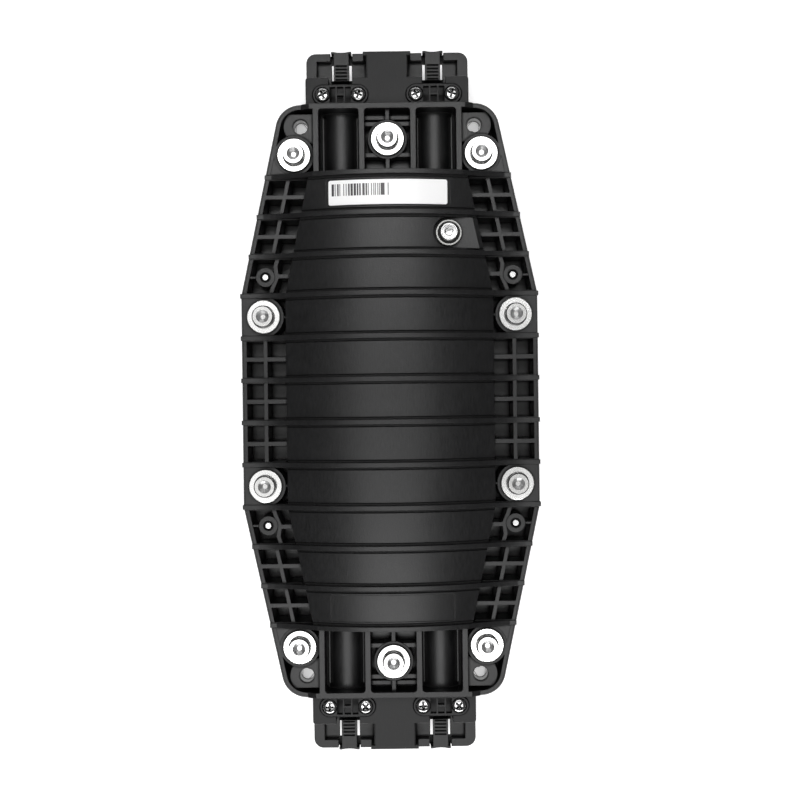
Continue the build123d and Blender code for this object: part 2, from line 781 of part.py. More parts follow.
# Bracket covers: a cross bar with a channel for each cable, and a nose between the cables
with BuildPart() as cover:
    with BuildSketch(Plane.XY.offset(PART_Z + SHELF_Z)):
        bar_start = HALF_LEN + 0.3
        with Locations((0, (bar_start + COVER_END) / 2)):
            Rectangle(2 * COVER_HALF_W, COVER_END - bar_start)
    extrude(amount=COVER_TOP - SHELF_Z)
    fillet(cover.edges().filter_by(Axis.Z).group_by(Axis.Y)[-1], 2.0)
    with BuildSketch(Plane.XY.offset(PART_Z + SHELF_Z)):
        with Locations((0, (COVER_END + NOSE_END) / 2 - 1)):
            Rectangle(2 * NOSE_HALF_W, NOSE_END - COVER_END + 2)
        with Locations((0, NOSE_END - NOSE_EAR[1] / 2)):
            Rectangle(2 * NOSE_HALF_W + 2 * NOSE_EAR[0], NOSE_EAR[1])
    extrude(amount=COVER_TOP - SHELF_Z)
    chamfer(cover.faces().sort_by(Axis.Z)[-1].edges(), 0.5)
    with BuildSketch(Plane.XY.offset(PART_Z + TONGUE_Z)):
        with Locations((PORT_X, SADDLE_Y), (-PORT_X, SADDLE_Y)):
            Rectangle(2 * CHANNEL_HALF_W, 30)
    extrude(amount=30, mode=Mode.SUBTRACT)
    with BuildSketch(Plane.XY.offset(PART_Z + SADDLE_Z)):
        with Locations((PORT_X, SADDLE_Y), (-PORT_X, SADDLE_Y)):
            SlotCenterToCenter(2 * SADDLE_PITCH, 2 * SADDLE_R + 0.8)
    extrude(amount=10, mode=Mode.SUBTRACT)
    with BuildSketch(Plane.XY.offset(PART_Z + SHELF_Z)):
        with Locations([(x, y) for x, y in SCREW_XY if y > 0]):
            Circle(SCREW_R + 0.2)
    extrude(amount=30, mode=Mode.SUBTRACT)
save(cover.part, "bracket_cover_top")
save(cover.part.rotate(Axis.Z, 180), "bracket_cover_bottom")

# Saddles over the cables: a rim, a cross rib and two walls, open between them
saddle_floor = 1.5
wall_x = 2.5
with BuildPart() as cable_saddles:
    with BuildSketch(Plane.XY.offset(PART_Z + SADDLE_Z)):
        with Locations(SADDLE_XY):
            SlotCenterToCenter(2 * SADDLE_PITCH, 2 * SADDLE_R)
        with Locations(SCREW_XY):
            Circle(SCREW_R + 0.2, mode=Mode.SUBTRACT)
    extrude(amount=SADDLE_H)
    with BuildSketch(Plane.XY.offset(PART_Z + SADDLE_Z + saddle_floor)):
        with Locations(SCREW_XY):
            Circle(SADDLE_R - SADDLE_WALL)
    extrude(amount=SADDLE_H, mode=Mode.SUBTRACT)
    with BuildSketch(Plane.XY.offset(PART_Z + SADDLE_Z)):
        for x, y in SADDLE_XY:
            with Locations((x, y)):
                Rectangle(2 * CHANNEL_HALF_W - 1.6, 2 * SADDLE_R - 2 * SADDLE_WALL)
                Rectangle(2 * wall_x, SADDLE_WALL, mode=Mode.SUBTRACT)
            with Locations((x - wall_x, y), (x + wall_x, y)):
                Rectangle(SADDLE_WALL, 2 * SADDLE_R, mode=Mode.SUBTRACT)
    extrude(amount=SADDLE_H, mode=Mode.SUBTRACT)
save(cable_saddles.part, "cable_saddles")

head_z = PART_Z + SADDLE_Z + saddle_floor
with BuildPart() as saddle_screws:
    with BuildSketch(Plane.XY.offset(head_z)):
        with Locations(SCREW_XY):
            Circle(4.5)
    extrude(amount=3.2)
    chamfer(saddle_screws.faces().filter_by(Axis.Z).group_by(Axis.Z)[-1].edges(), 1.0)
    with BuildSketch(Plane.XY.offset(PART_Z + SHELF_Z - SHELF_T)):
        with Locations(SCREW_XY):
            Circle(SCREW_R)
    extrude(amount=head_z - PART_Z - SHELF_Z + SHELF_T)
    with BuildSketch(Plane.XY.offset(head_z + 3.2)):
        with Locations(SCREW_XY):
            Rectangle(4.6, 1.1)
            Rectangle(1.1, 4.6)
    extrude(amount=-2.2, mode=Mode.SUBTRACT)
save(saddle_screws.part, "saddle_screws")

with BuildPart() as saddle_nuts:
    with BuildSketch(Plane.XY.offset(PART_Z + SHELF_Z - SHELF_T)):
        with Locations(SCREW_XY):
            RegularPolygon(NUT_AF / 2, 6, major_radius=False)
            Circle(SCREW_R + CLEAR, mode=Mode.SUBTRACT)
    extrude(amount=NUT_T)
save(saddle_nuts.part, "saddle_nuts")

# Pressure valve: body, nut inside the housing, seal, cap, and a sprung pin
base_z = PART_Z + VALVE_PAD_Z
pin_r = 0.9
spring_r = 1.5
with BuildPart() as valve_body:
    with Locations((VALVE_X, VALVE_Y, base_z)):
        Cylinder(VALVE_R, 1.0, align=(Align.CENTER, Align.CENTER, Align.MIN))
        Cylinder(3.4, 4.0, align=(Align.CENTER, Align.CENTER, Align.MIN))
        Cylinder(VALVE_HOLE_R, VALVE_STEM_L, align=(Align.CENTER, Align.CENTER, Align.MAX))
    with BuildSketch(Plane.XY.offset(base_z)):
        with Locations((VALVE_X, VALVE_Y)):
            Circle(VALVE_R)
            Circle(VALVE_R - 0.9, mode=Mode.SUBTRACT)
    extrude(amount=2.6)
    with Locations((VALVE_X, VALVE_Y, base_z)):
        Cylinder(pin_r + CLEAR, 40, mode=Mode.SUBTRACT)
    with Locations((VALVE_X, VALVE_Y, base_z - 10)):
        Cylinder(spring_r + 0.35, 10, align=(Align.CENTER, Align.CENTER, Align.MIN), mode=Mode.SUBTRACT)
save(valve_body.part, "valve_body")

with BuildPart() as valve_nut:
    with BuildSketch(Plane.XY.offset(base_z - VALVE_PAD_T)):
        with Locations((VALVE_X, VALVE_Y)):
            RegularPolygon(6.5, 6, major_radius=False)
            Circle(VALVE_HOLE_R + CLEAR, mode=Mode.SUBTRACT)
    extrude(amount=-4)
save(valve_nut.part, "valve_nut")

with BuildPart() as valve_seal:
    with BuildSketch(Plane.XY.offset(base_z + 1)):
        with Locations((VALVE_X, VALVE_Y)):
            Circle(VALVE_R - 1.0)
            Circle(5.4, mode=Mode.SUBTRACT)
    extrude(amount=1.2)
save(valve_seal.part, "valve_seal")

with BuildPart() as valve_cap:
    with Locations((VALVE_X, VALVE_Y, base_z + 2.3)):
        Cylinder(5.7, 1.6, align=(Align.CENTER, Align.CENTER, Align.MIN))
        Cylinder(4.7, 4.0, align=(Align.CENTER, Align.CENTER, Align.MIN))
    rings = valve_cap.edges().filter_by(GeomType.CIRCLE)
    chamfer(rings.group_by(Axis.Z)[-1], 0.5)
    with Locations((VALVE_X, VALVE_Y, base_z + 2.3)):
        Cylinder(3.4 + CLEAR, 2.0, align=(Align.CENTER, Align.CENTER, Align.MIN), mode=Mode.SUBTRACT)
    with BuildSketch(Plane.XY.offset(base_z + 6.3)):
        with Locations((VALVE_X, VALVE_Y)):
            RegularPolygon(2.0, 6, major_radius=False)
    extrude(amount=-1.6, mode=Mode.SUBTRACT)
save(valve_cap.part, "valve_cap")

with BuildPart() as valve_pin:
    with Locations((VALVE_X, VALVE_Y, base_z + 3.9)):
        Cylinder(pin_r, VALVE_STEM_L + 2.0, align=(Align.CENTER, Align.CENTER, Align.MAX))
    with Locations((VALVE_X, VALVE_Y, base_z - 0.1)):
        Cylinder(spring_r + 0.3, 1.2, align=(Align.CENTER, Align.CENTER, Align.MAX))
save(valve_pin.part, "valve_pin")

with BuildPart() as valve_spring:
    with BuildLine(Plane.XY.offset(base_z - 9.7)) as coil:
        Helix(pitch=2.7, height=8.1, radius=spring_r - 0.15, center=(VALVE_X, VALVE_Y, 0))
    with BuildSketch(Plane(origin=coil.line @ 0, z_dir=coil.line % 0)):
        Rectangle(0.4, 0.4)
    sweep(path=coil.line, is_frenet=True)
save(valve_spring.part, "valve_spring")

# Label in the recess on the upper half
label = raised(skin(LABEL_SIZE, 1.2, PAD_R - RECESS_DEPTH + 0.02, PAD_R - RECESS_DEPTH + LABEL_T, LABEL_Y))
save(label, "label")

# Frame that carries the trays, held on the posts of the lower half
with BuildPart() as tray_frame:
    with BuildSketch(Plane.XY.offset(PART_Z + FRAME_Z - FRAME_T)):
        with BuildLine():
            knee = POST_XY[1] + 8
            Polyline(
                (-FRAME_TIP_HALF_W, -FRAME_HALF_L),
                (FRAME_TIP_HALF_W, -FRAME_HALF_L),
                (FRAME_HALF_W, -knee),
                (FRAME_HALF_W, knee),
                (FRAME_TIP_HALF_W, FRAME_HALF_L),
                (-FRAME_TIP_HALF_W, FRAME_HALF_L),
                (-FRAME_HALF_W, knee),
                (-FRAME_HALF_W, -knee),
                close=True,
            )
        make_face()
        with Locations(both_ends(*POST_XY) + both_ends(*CLAMP_XY)):
            Circle(SMALL_SCREW_R + CLEAR, mode=Mode.SUBTRACT)
        with Locations((0, SPOOL_Y), (0, -SPOOL_Y)):
            RectangleRounded(50, 60, 6, mode=Mode.SUBTRACT)
    extrude(amount=FRAME_T)
save(tray_frame.part, "tray_frame")

with BuildPart() as frame_screws:
    with BuildSketch(Plane.XY.offset(PART_Z + FRAME_Z)):
        with Locations(both_ends(*POST_XY)):
            Circle(3.4)
    extrude(amount=2.6)
    with BuildSketch(Plane.XY.offset(PART_Z + FRAME_Z)):
        with Locations(both_ends(*POST_XY)):
            Circle(SMALL_SCREW_R)
    extrude(amount=-FRAME_T - 7)
save(frame_screws.part, "frame_screws")

# Clamps for the strength members of the cables
with BuildPart() as strength_clamps:
    with BuildSketch(Plane.XY.offset(PART_Z + FRAME_Z)):
        with Locations(both_ends(*CLAMP_XY)):
            Rectangle(*CLAMP_SIZE)
            Circle(SMALL_SCREW_R + CLEAR, mode=Mode.SUBTRACT)
    extrude(amount=CLAMP_H)
    with BuildSketch(Plane.XZ):
        with Locations((CLAMP_XY[0] + 4.6, PART_Z + FRAME_Z + 3), (-CLAMP_XY[0] - 4.6, PART_Z + FRAME_Z + 3)):
            Rectangle(2.4, 2.4)
    extrude(amount=HALF_LEN, both=True, mode=Mode.SUBTRACT)
save(strength_clamps.part, "strength_clamps")

with BuildPart() as clamp_screws:
    with BuildSketch(Plane.XY.offset(PART_Z + FRAME_Z + CLAMP_H)):
        with Locations(both_ends(*CLAMP_XY)):
            Circle(3.4)
    extrude(amount=2.6)
    with BuildSketch(Plane.XY.offset(PART_Z + FRAME_Z + CLAMP_H)):
        with Locations(both_ends(*CLAMP_XY)):
            Circle(SMALL_SCREW_R)
    extrude(amount=-CLAMP_H - FRAME_T)
save(clamp_screws.part, "clamp_screws")

# Splice trays, stacked on the frame, each with two spools
with BuildPart() as tray:
    with BuildSketch():
        RectangleRounded(TRAY_W, TRAY_L, TRAY_CORNER_R)
    extrude(amount=TRAY_H)
    with BuildSketch(Plane.XY.offset(TRAY_WALL)):
        RectangleRounded(TRAY_W - 2 * TRAY_WALL, TRAY_L - 2 * TRAY_WALL, TRAY_CORNER_R - TRAY_WALL)
    extrude(amount=TRAY_H, mode=Mode.SUBTRACT)
    with BuildSketch(Plane.XY.offset(TRAY_WALL)):
        with Locations((0, SPOOL_Y), (0, -SPOOL_Y)):
            Circle(SPOOL_R)
            Circle(SPOOL_R - TRAY_WALL, mode=Mode.SUBTRACT)
    extrude(amount=TRAY_H - TRAY_WALL - 1)
tray_z = PART_Z + FRAME_Z
upper_tray_z = tray_z + TRAY_H + TRAY_GAP
save(tray.part.moved(Location((0, 0, tray_z))), "splice_tray_lower")
save(tray.part.moved(Location((0, 0, upper_tray_z))), "splice_tray_upper")

with BuildPart() as splice_holders:
    places = [tray_z + TRAY_WALL, upper_tray_z + TRAY_WALL]
    with BuildSketch(*[Plane.XY.offset(z) for z in places]):
        Rectangle(44, 40)
    extrude(amount=5.5)
    with BuildSketch(*[Plane.XY.offset(z + 1.5) for z in places]):
        with GridLocations(6.5, 1, 6, 1):
            Rectangle(3.2, 60)
    extrude(amount=5, mode=Mode.SUBTRACT)
save(splice_holders.part, "splice_holders")

lid_z = upper_tray_z + TRAY_H + TRAY_GAP
with BuildPart() as tray_lid:
    with BuildSketch(Plane.XY.offset(lid_z)):
        RectangleRounded(TRAY_W, TRAY_L, TRAY_CORNER_R)
    extrude(amount=TRAY_WALL)
save(tray_lid.part, "tray_lid")

# Strap round the trays and the frame
strap_low = tray_z - FRAME_T - TRAY_GAP
strap_high = lid_z + TRAY_WALL + TRAY_GAP
with BuildPart() as tray_strap:
    with BuildSketch(Plane.XZ):
        with Locations((0, (strap_low + strap_high) / 2)):
            RectangleRounded(2 * FRAME_HALF_W + 3, strap_high - strap_low + 2.4, 2.4)
            Rectangle(2 * FRAME_HALF_W + 0.6, strap_high - strap_low, mode=Mode.SUBTRACT)
    extrude(amount=9, both=True)
save(tray_strap.part, "tray_strap")
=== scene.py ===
"""Looks of an inline fibre splice closure, seen from straight above on a white table."""

import itertools
import logging
import math
from collections.abc import Callable
from dataclasses import dataclass, field
from enum import Enum

import bmesh
import bpy
from mathutils import Matrix, Vector


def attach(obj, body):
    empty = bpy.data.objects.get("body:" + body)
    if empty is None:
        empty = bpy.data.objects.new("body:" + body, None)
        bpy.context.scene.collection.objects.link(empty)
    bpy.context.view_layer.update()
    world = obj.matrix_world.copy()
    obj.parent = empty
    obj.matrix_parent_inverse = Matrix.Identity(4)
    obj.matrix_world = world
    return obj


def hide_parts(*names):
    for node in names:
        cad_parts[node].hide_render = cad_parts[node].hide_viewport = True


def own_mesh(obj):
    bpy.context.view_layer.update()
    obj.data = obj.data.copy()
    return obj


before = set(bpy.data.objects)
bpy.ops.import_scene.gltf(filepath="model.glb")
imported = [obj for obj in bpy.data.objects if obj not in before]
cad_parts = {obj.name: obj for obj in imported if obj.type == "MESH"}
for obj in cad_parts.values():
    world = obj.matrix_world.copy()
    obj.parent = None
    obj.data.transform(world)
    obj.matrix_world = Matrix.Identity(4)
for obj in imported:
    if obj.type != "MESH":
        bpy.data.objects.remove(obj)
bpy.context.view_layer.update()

log = logging.getLogger("closure")
MM = 0.001
WELD = 1e-7
SHADE_SAMPLES = 12
BEVEL_SAMPLES = 6
MIX_LOW, MIX_HIGH, MIX_RESULT = 6, 7, 2
Point = tuple[float, float, float]
Colour = tuple[float, float, float]
Pair = tuple[float, float]
Profile = tuple[Pair, ...]
BMesh = bmesh.types.BMesh


def grey(level: float) -> Colour:
    """Neutral colour of one level."""
    return (level, level, level)


def shade(colour: Colour, share: float) -> Colour:
    """Darker version of a colour."""
    return tuple(level * share for level in colour)


class Value:
    """A socket in shader maths: each operation on it adds one Math node."""

    def __init__(self, graph: "Graph", socket: bpy.types.NodeSocket) -> None:
        """Wrap a socket of a graph."""
        self.graph = graph
        self.socket = socket

    def math(self, operation: str, *others: "Value | float", swap: bool = False) -> "Value":
        """Combine this value with others in a Math node.

        Args:
            operation: Name of the Math operation.
            others: Second and third values.
            swap: Put the first of the others ahead of this value.

        Returns:
            The node's result.
        """
        terms = [self, *others]
        if swap:
            terms[0], terms[1] = terms[1], terms[0]
        return self.graph.add("ShaderNodeMath", {"operation": operation}, dict(enumerate(terms)))

    def clamped(self) -> "Value":
        """This value, kept between 0 and 1."""
        return self.math("MAXIMUM", 0.0).math("MINIMUM", 1.0)

    def __add__(self, other: "Value | float") -> "Value":
        """Sum."""
        return self.math("ADD", other)

    def __radd__(self, other: float) -> "Value":
        """Sum with a number on the left."""
        return self.math("ADD", other)

    def __sub__(self, other: "Value | float") -> "Value":
        """Difference."""
        return self.math("SUBTRACT", other)

    def __rsub__(self, other: float) -> "Value":
        """Difference from a number."""
        return self.math("SUBTRACT", other, swap=True)

    def __mul__(self, other: "Value | float") -> "Value":
        """Product."""
        return self.math("MULTIPLY", other)

    def __rmul__(self, other: float) -> "Value":
        """Product with a number on the left."""
        return self.math("MULTIPLY", other)

    def __truediv__(self, other: "Value | float") -> "Value":
        """Quotient."""
        return self.math("DIVIDE", other)

    def __gt__(self, other: "Value | float") -> "Value":
        """1 where this value is the larger, else 0."""
        return self.math("GREATER_THAN", other)

    def __lt__(self, other: "Value | float") -> "Value":
        """1 where this value is the smaller, else 0."""
        return self.math("LESS_THAN", other)


class Graph:
    """Node tree with one shader, whose sockets are set by name."""

    def __init__(self, tree: bpy.types.NodeTree, shader: bpy.types.ShaderNode) -> None:
        """Wrap a tree and its shader."""
        self.tree = tree
        self.shader = shader

    def plug(self, target: bpy.types.NodeSocket, source: "Value | float | tuple") -> None:
        """Set or link one socket.

        Args:
            target: Socket to fill.
            source: What goes into it: an output, a number, a vector or a colour.
        """
        if isinstance(source, Value):
            self.tree.links.new(source.socket, target)
        elif isinstance(source, tuple) and len(source) == 3 and target.type == "RGBA":
            target.default_value = (*source, 1.0)
        else:
            target.default_value = source

    def add(
        self,
        kind: str,
        settings: dict[str, object] | None = None,
        sockets: dict[str | int, "Value | float | tuple"] | None = None,
        result: str | int = 0,
    ) -> Value:
        """Add one node.

        Args:
            kind: Type of the node.
            settings: Properties to set first; "stops" fills a colour ramp.
            sockets: Values or links of its sockets, by name or number.
            result: Output to return.

        Returns:
            The wanted output.
        """
        node = self.tree.nodes.new(kind)
        for key, value in (settings or {}).items():
            if key == "stops":
                ramp = node.color_ramp
                while len(ramp.elements) < len(value):
                    ramp.elements.new(0.5)
                for element, (place, colour) in zip(ramp.elements, value):
                    element.position = place
                    element.color = (*colour, 1.0)
            else:
                setattr(node, key, value)
        for key, value in (sockets or {}).items():
            self.plug(node.inputs[key], value)
        return Value(self, node.outputs[result])

    def ray(self, kind: str) -> Value:
        """1 for rays of one kind, named as the Light Path node names them."""
        return self.add("ShaderNodeLightPath", result=kind)

    def set(self, **sockets: "Value | float | tuple") -> None:
        """Set sockets of the shader, named with underscores for spaces."""
        for key, value in sockets.items():
            self.plug(self.shader.inputs[key.replace("_", " ")], value)


class SurfaceGraph(Graph):
    """Node tree of one material."""

    def __init__(self, name: str) -> None:
        """Start a material with an output and a Principled shader.

        Args:
            name: Name of the material.
        """
        self.material = bpy.data.materials.new(name)
        self.material.use_nodes = True
        tree = self.material.node_tree
        tree.nodes.clear()
        self.output = tree.nodes.new("ShaderNodeOutputMaterial")
        super().__init__(tree, tree.nodes.new("ShaderNodeBsdfPrincipled"))
        tree.links.new(self.shader.outputs["BSDF"], self.output.inputs["Surface"])

    def place(self, stretch: Point = (1.0, 1.0, 1.0)) -> Value:
        """Point on the object, with each axis stretched."""
        where = self.add("ShaderNodeTexCoord", result="Object")
        return self.add("ShaderNodeVectorMath", {"operation": "MULTIPLY"}, {0: where, 1: stretch})

    def axes(self) -> tuple[Value, Value, Value]:
        """Split the point on the object.

        Returns:
            Its X, Y and Z in metres.
        """
        where = self.add("ShaderNodeTexCoord", result="Object")
        node = self.add("ShaderNodeSeparateXYZ", None, {0: where}).socket.node
        return tuple(Value(self, node.outputs[axis]) for axis in "XYZ")

    def noise(self, scale: float, detail: float, stretch: Point = (1.0, 1.0, 1.0)) -> Value:
        """Noise about 0.5, with features about 1/scale metres wide.

        Args:
            scale: Features in a metre.
            detail: Number of finer layers.
            stretch: Factor on each axis; less than 1 draws the features out along it.

        Returns:
            The noise.
        """
        sockets = {"Vector": self.place(stretch), "Scale": scale, "Detail": detail}
        return self.add("ShaderNodeTexNoise", None, sockets, "Fac")

    def mix(self, factor: "Value | float", low: "Value | Colour", high: "Value | Colour") -> Value:
        """Colour between two colours.

        Args:
            factor: 0 for the first colour, 1 for the second.
            low: First colour.
            high: Second colour.

        Returns:
            The mixed colour.
        """
        sockets = {0: factor, MIX_LOW: low, MIX_HIGH: high}
        return self.add("ShaderNodeMix", {"data_type": "RGBA"}, sockets, MIX_RESULT)

    def open_air(self, reach: float) -> Value:
        """1 on open faces, falling toward 0 in grooves and corners.

        Args:
            reach: Distance in metres over which a neighbouring face counts.

        Returns:
            The share of the sky that is free.
        """
        settings = {"samples": SHADE_SAMPLES}
        return self.add("ShaderNodeAmbientOcclusion", settings, {"Distance": reach}, "AO")

    def bump(self, height: Value, strength: float, distance: float, edge: float = 0.0) -> None:
        """Feed a height into the shader's normal.

        Args:
            height: Height to raise the surface by.
            strength: Share of the effect.
            distance: Depth in metres of a height of 1.
            edge: Radius in metres to round the sharp edges by.
        """
        sockets = {"Height": height, "Strength": strength, "Distance": distance}
        if edge:
            settings = {"samples": BEVEL_SAMPLES}
            sockets["Normal"] = self.add("ShaderNodeBevel", settings, {"Radius": edge})
        self.set(Normal=self.add("ShaderNodeBump", None, sockets, "Normal"))


class SkyGraph(Graph):
    """Node tree of the world."""

    def __init__(self, world: bpy.types.World) -> None:
        """Take over the world's tree, whose shader is its background."""
        world.use_nodes = True
        super().__init__(world.node_tree, world.node_tree.nodes["Background"])


@dataclass(frozen=True)
class MouldedPlastic:
    """Glass-filled black moulding with drawn streaks, a fine grain, dull grooves and painted shade.

    Attributes:
        name: Name of the material.
        dark: Darkest tone of the open surface.
        light: Lightest tone of the open surface.
        black: Tone of the painted shade that grooves and deep pockets fall to.
        roughness: Roughness of the open surface.
        streak: Streaks in a metre.
        drawn: Stretch of the streaks along each axis.
        cloud: Clouds in a metre.
        grain: Grains in a metre.
        shares: Weight of streaks, clouds and grain in the tone.
        spread: Tones at which the darkest and the lightest are reached.
        swings: How far streaks, clouds and grooves move the roughness.
        depth: Strength of the relief.
        relief: Depth of the relief in metres.
        relief_shares: Weight of grain and streaks in the relief.
        edge: Radius of the edges in metres.
        groove: Width of a groove in metres.
        shut_from: Free sky below which painted shade darkens a groove.
        shut_gain: How fast that painted shade deepens.
        pocket: Width of a pocket in metres.
        open_from: Free sky above which the painted shade of a pocket fades.
        open_gain: How fast that painted shade fades.
        pocket_shade: Share of its tone that a deep pocket keeps under painted shade.
    """

    name: str
    dark: Colour = (0.0056, 0.0056, 0.0059)
    light: Colour = (0.0145, 0.0145, 0.0151)
    black: Colour = (0.0004, 0.0004, 0.0005)
    roughness: float = 0.35
    streak: float = 1300.0
    drawn: Point = (1.0, 0.16, 0.16)
    cloud: float = 28.0
    grain: float = 1300.0
    shares: Point = (0.55, 0.25, 0.2)
    spread: Pair = (0.32, 0.68)
    swings: Point = (0.12, 0.06, 0.6)
    depth: float = 0.5
    relief: float = 0.00012
    relief_shares: Pair = (0.7, 0.3)
    edge: float = 0.0006
    groove: float = 0.0022
    shut_from: float = 0.92
    shut_gain: float = 1.6
    pocket: float = 0.014
    open_from: float = 0.42
    open_gain: float = 2.6
    pocket_shade: float = 0.22

    def build(self) -> bpy.types.Material:
        """Make the material.

        Returns:
            The new material.
        """
        g = SurfaceGraph(self.name)
        streaks = g.noise(self.streak, 2.0, self.drawn)
        clouds = g.noise(self.cloud, 3.0)
        grain = g.noise(self.grain, 2.0)
        streak_share, cloud_share, grain_share = self.shares
        tone = streaks * streak_share + clouds * cloud_share + grain * grain_share
        ramp = {"stops": ((self.spread[0], self.dark), (self.spread[1], self.light))}
        moulded = g.add("ShaderNodeValToRGB", ramp, {0: tone})
        # Painted shade: grooves and corners, found by ambient occlusion, darken the colour toward
        # black.
        painted_groove_shade = ((self.shut_from - g.open_air(self.groove)) * self.shut_gain).clamped()
        # Painted shade: deep pockets, found by ambient occlusion over a wider reach, darken the
        # colour too.
        lit = ((g.open_air(self.pocket) - self.open_from) * self.open_gain).clamped()
        kept = lit * (1.0 - self.pocket_shade) + self.pocket_shade
        streak_swing, cloud_swing, shut_swing = self.swings
        uneven = (streaks - 0.5) * streak_swing + (clouds - 0.5) * cloud_swing
        g.set(
            Base_Color=g.mix(painted_groove_shade, g.mix(kept, self.black, moulded), self.black),
            Roughness=self.roughness + uneven + painted_groove_shade * shut_swing,
            Specular_IOR_Level=0.5,
        )
        height = grain * self.relief_shares[0] + streaks * self.relief_shares[1]
        g.bump(height, self.depth, self.relief, self.edge)
        return g.material


@dataclass(frozen=True)
class TurnedMetal:
    """Plated or machined metal with fine tool marks and faint clouds of tarnish.

    Attributes:
        name: Name of the material.
        colour: Tone of the clean metal.
        worn: Tone of marks and tarnish.
        roughness: Mean roughness.
        marks: Tool marks in a metre.
        drawn: Stretch of the marks along each axis.
        cloud: Clouds in a metre.
        tarnish_from: Cloud above which tarnish shows.
        tarnish_gain: How fast it shows.
        shares: Weight of tarnish and marks in the tone.
        swings: How far marks and clouds move the roughness.
        depth: Strength of the relief.
        relief: Depth of the relief in metres.
        edge: Radius of the edges in metres.
    """

    name: str
    colour: Colour
    worn: Colour = (0.52, 0.52, 0.52)
    roughness: float = 0.2
    marks: float = 2200.0
    drawn: Point = (1.0, 0.35, 1.0)
    cloud: float = 160.0
    tarnish_from: float = 0.54
    tarnish_gain: float = 4.0
    shares: Pair = (0.35, 0.3)
    swings: Pair = (0.14, 0.1)
    depth: float = 0.12
    relief: float = 0.00004
    edge: float = 0.00012

    def build(self) -> bpy.types.Material:
        """Make the material.

        Returns:
            The new material.
        """
        g = SurfaceGraph(self.name)
        marks = g.noise(self.marks, 3.0, self.drawn)
        cloud = g.noise(self.cloud, 4.0)
        tarnish = ((cloud - self.tarnish_from) * self.tarnish_gain).clamped()
        worn = tarnish * self.shares[0] + marks * self.shares[1]
        uneven = (marks - 0.5) * self.swings[0] + (cloud - 0.5) * self.swings[1]
        g.set(
            Base_Color=g.mix(worn, self.colour, self.worn),
            Metallic=1.0,
            Roughness=self.roughness + uneven,
        )
        g.bump(marks, self.depth, self.relief, self.edge)
        return g.material


@dataclass(frozen=True)
class BoreMetal:
    """Turned sleeve: painted shade at its rim, turned mouth and a step below; bright down the bore.

    Attributes:
        name: Name of the material.
        meeting: Height in metres of the plane that the sleeve is centred on.
        mouth: Distance in metres from that plane to the sleeve's ends.
        edge: Depth in metres of the rim.
        step: Depth in metres at which the step of painted shadow starts.
        step_w: Height of that step in metres.
        painted_rim_shade: Tone of the painted shade on the rim.
        mouth_marks_and_shade_dark: Darkest tone of the turned mouth, with painted shade.
        mouth_marks_and_shade_light: Lightest tone of the turned mouth, with painted shade.
        painted_step_shade: Tone of the painted shadow on the step.
        bright: Tone of the bore.
        rings: Turning marks in a metre.
        turned: Stretch of the marks along each axis.
        roughness: Roughness of the mouth.
        swing: How far the marks move the roughness.
        polish: How much smoother the bore is.
    """

    name: str
    meeting: float = 0.0365
    mouth: float = 0.0188
    edge: float = 0.0002
    step: float = 0.0055
    step_w: float = 0.0024
    painted_rim_shade: Colour = (0.05, 0.05, 0.05)
    mouth_marks_and_shade_dark: Colour = (0.40, 0.40, 0.40)
    mouth_marks_and_shade_light: Colour = (0.6, 0.6, 0.6)
    painted_step_shade: Colour = (0.02, 0.02, 0.02)
    bright: Colour = (0.95, 0.95, 0.95)
    rings: float = 900.0
    turned: Point = (0.05, 0.05, 1.0)
    roughness: float = 0.28
    swing: float = 0.12
    polish: float = 0.24

    def build(self) -> bpy.types.Material:
        """Make the material.

        Returns:
            The new material.
        """
        g = SurfaceGraph(self.name)
        _, _, z = g.axes()
        deep = self.mouth - (z - self.meeting).math("ABSOLUTE")
        rings = g.noise(self.rings, 2.0, self.turned)
        # Painted shade: the rim and a step below the mouth are dark, and the mouth is darker than
        # the bore.
        low = deep > self.step + self.step_w
        below = g.mix(low, self.painted_step_shade, self.bright)
        sleeve = g.mix(deep > self.step, g.mix(rings, self.mouth_marks_and_shade_dark, self.mouth_marks_and_shade_light), below)
        g.set(
            Base_Color=g.mix(deep > self.edge, self.painted_rim_shade, sleeve),
            Metallic=1.0,
            Roughness=self.roughness + rings * self.swing - low * self.polish,
        )
        g.bump(rings, strength=0.06, distance=0.00003, edge=0.0001)
        return g.material


@dataclass(frozen=True)
class SoftRubber:
    """Dull black rubber with a faint bloom."""

    name: str
    dark: Colour = (0.007, 0.007, 0.007)
    bloomed: Colour = (0.022, 0.022, 0.021)
    bloom: float = 120.0
    grain: float = 1800.0
    roughness: float = 0.55
    swing: float = 0.25

    def build(self) -> bpy.types.Material:
        """Make the material.

        Returns:
            The new material.
        """
        g = SurfaceGraph(self.name)
        bloom = g.noise(self.bloom, 4.0)
        g.set(
            Base_Color=g.mix(bloom, self.dark, self.bloomed),
            Roughness=self.roughness + bloom * self.swing,
        )
        g.bump(g.noise(self.grain, 2.0), strength=0.3, distance=0.0001)
        return g.material


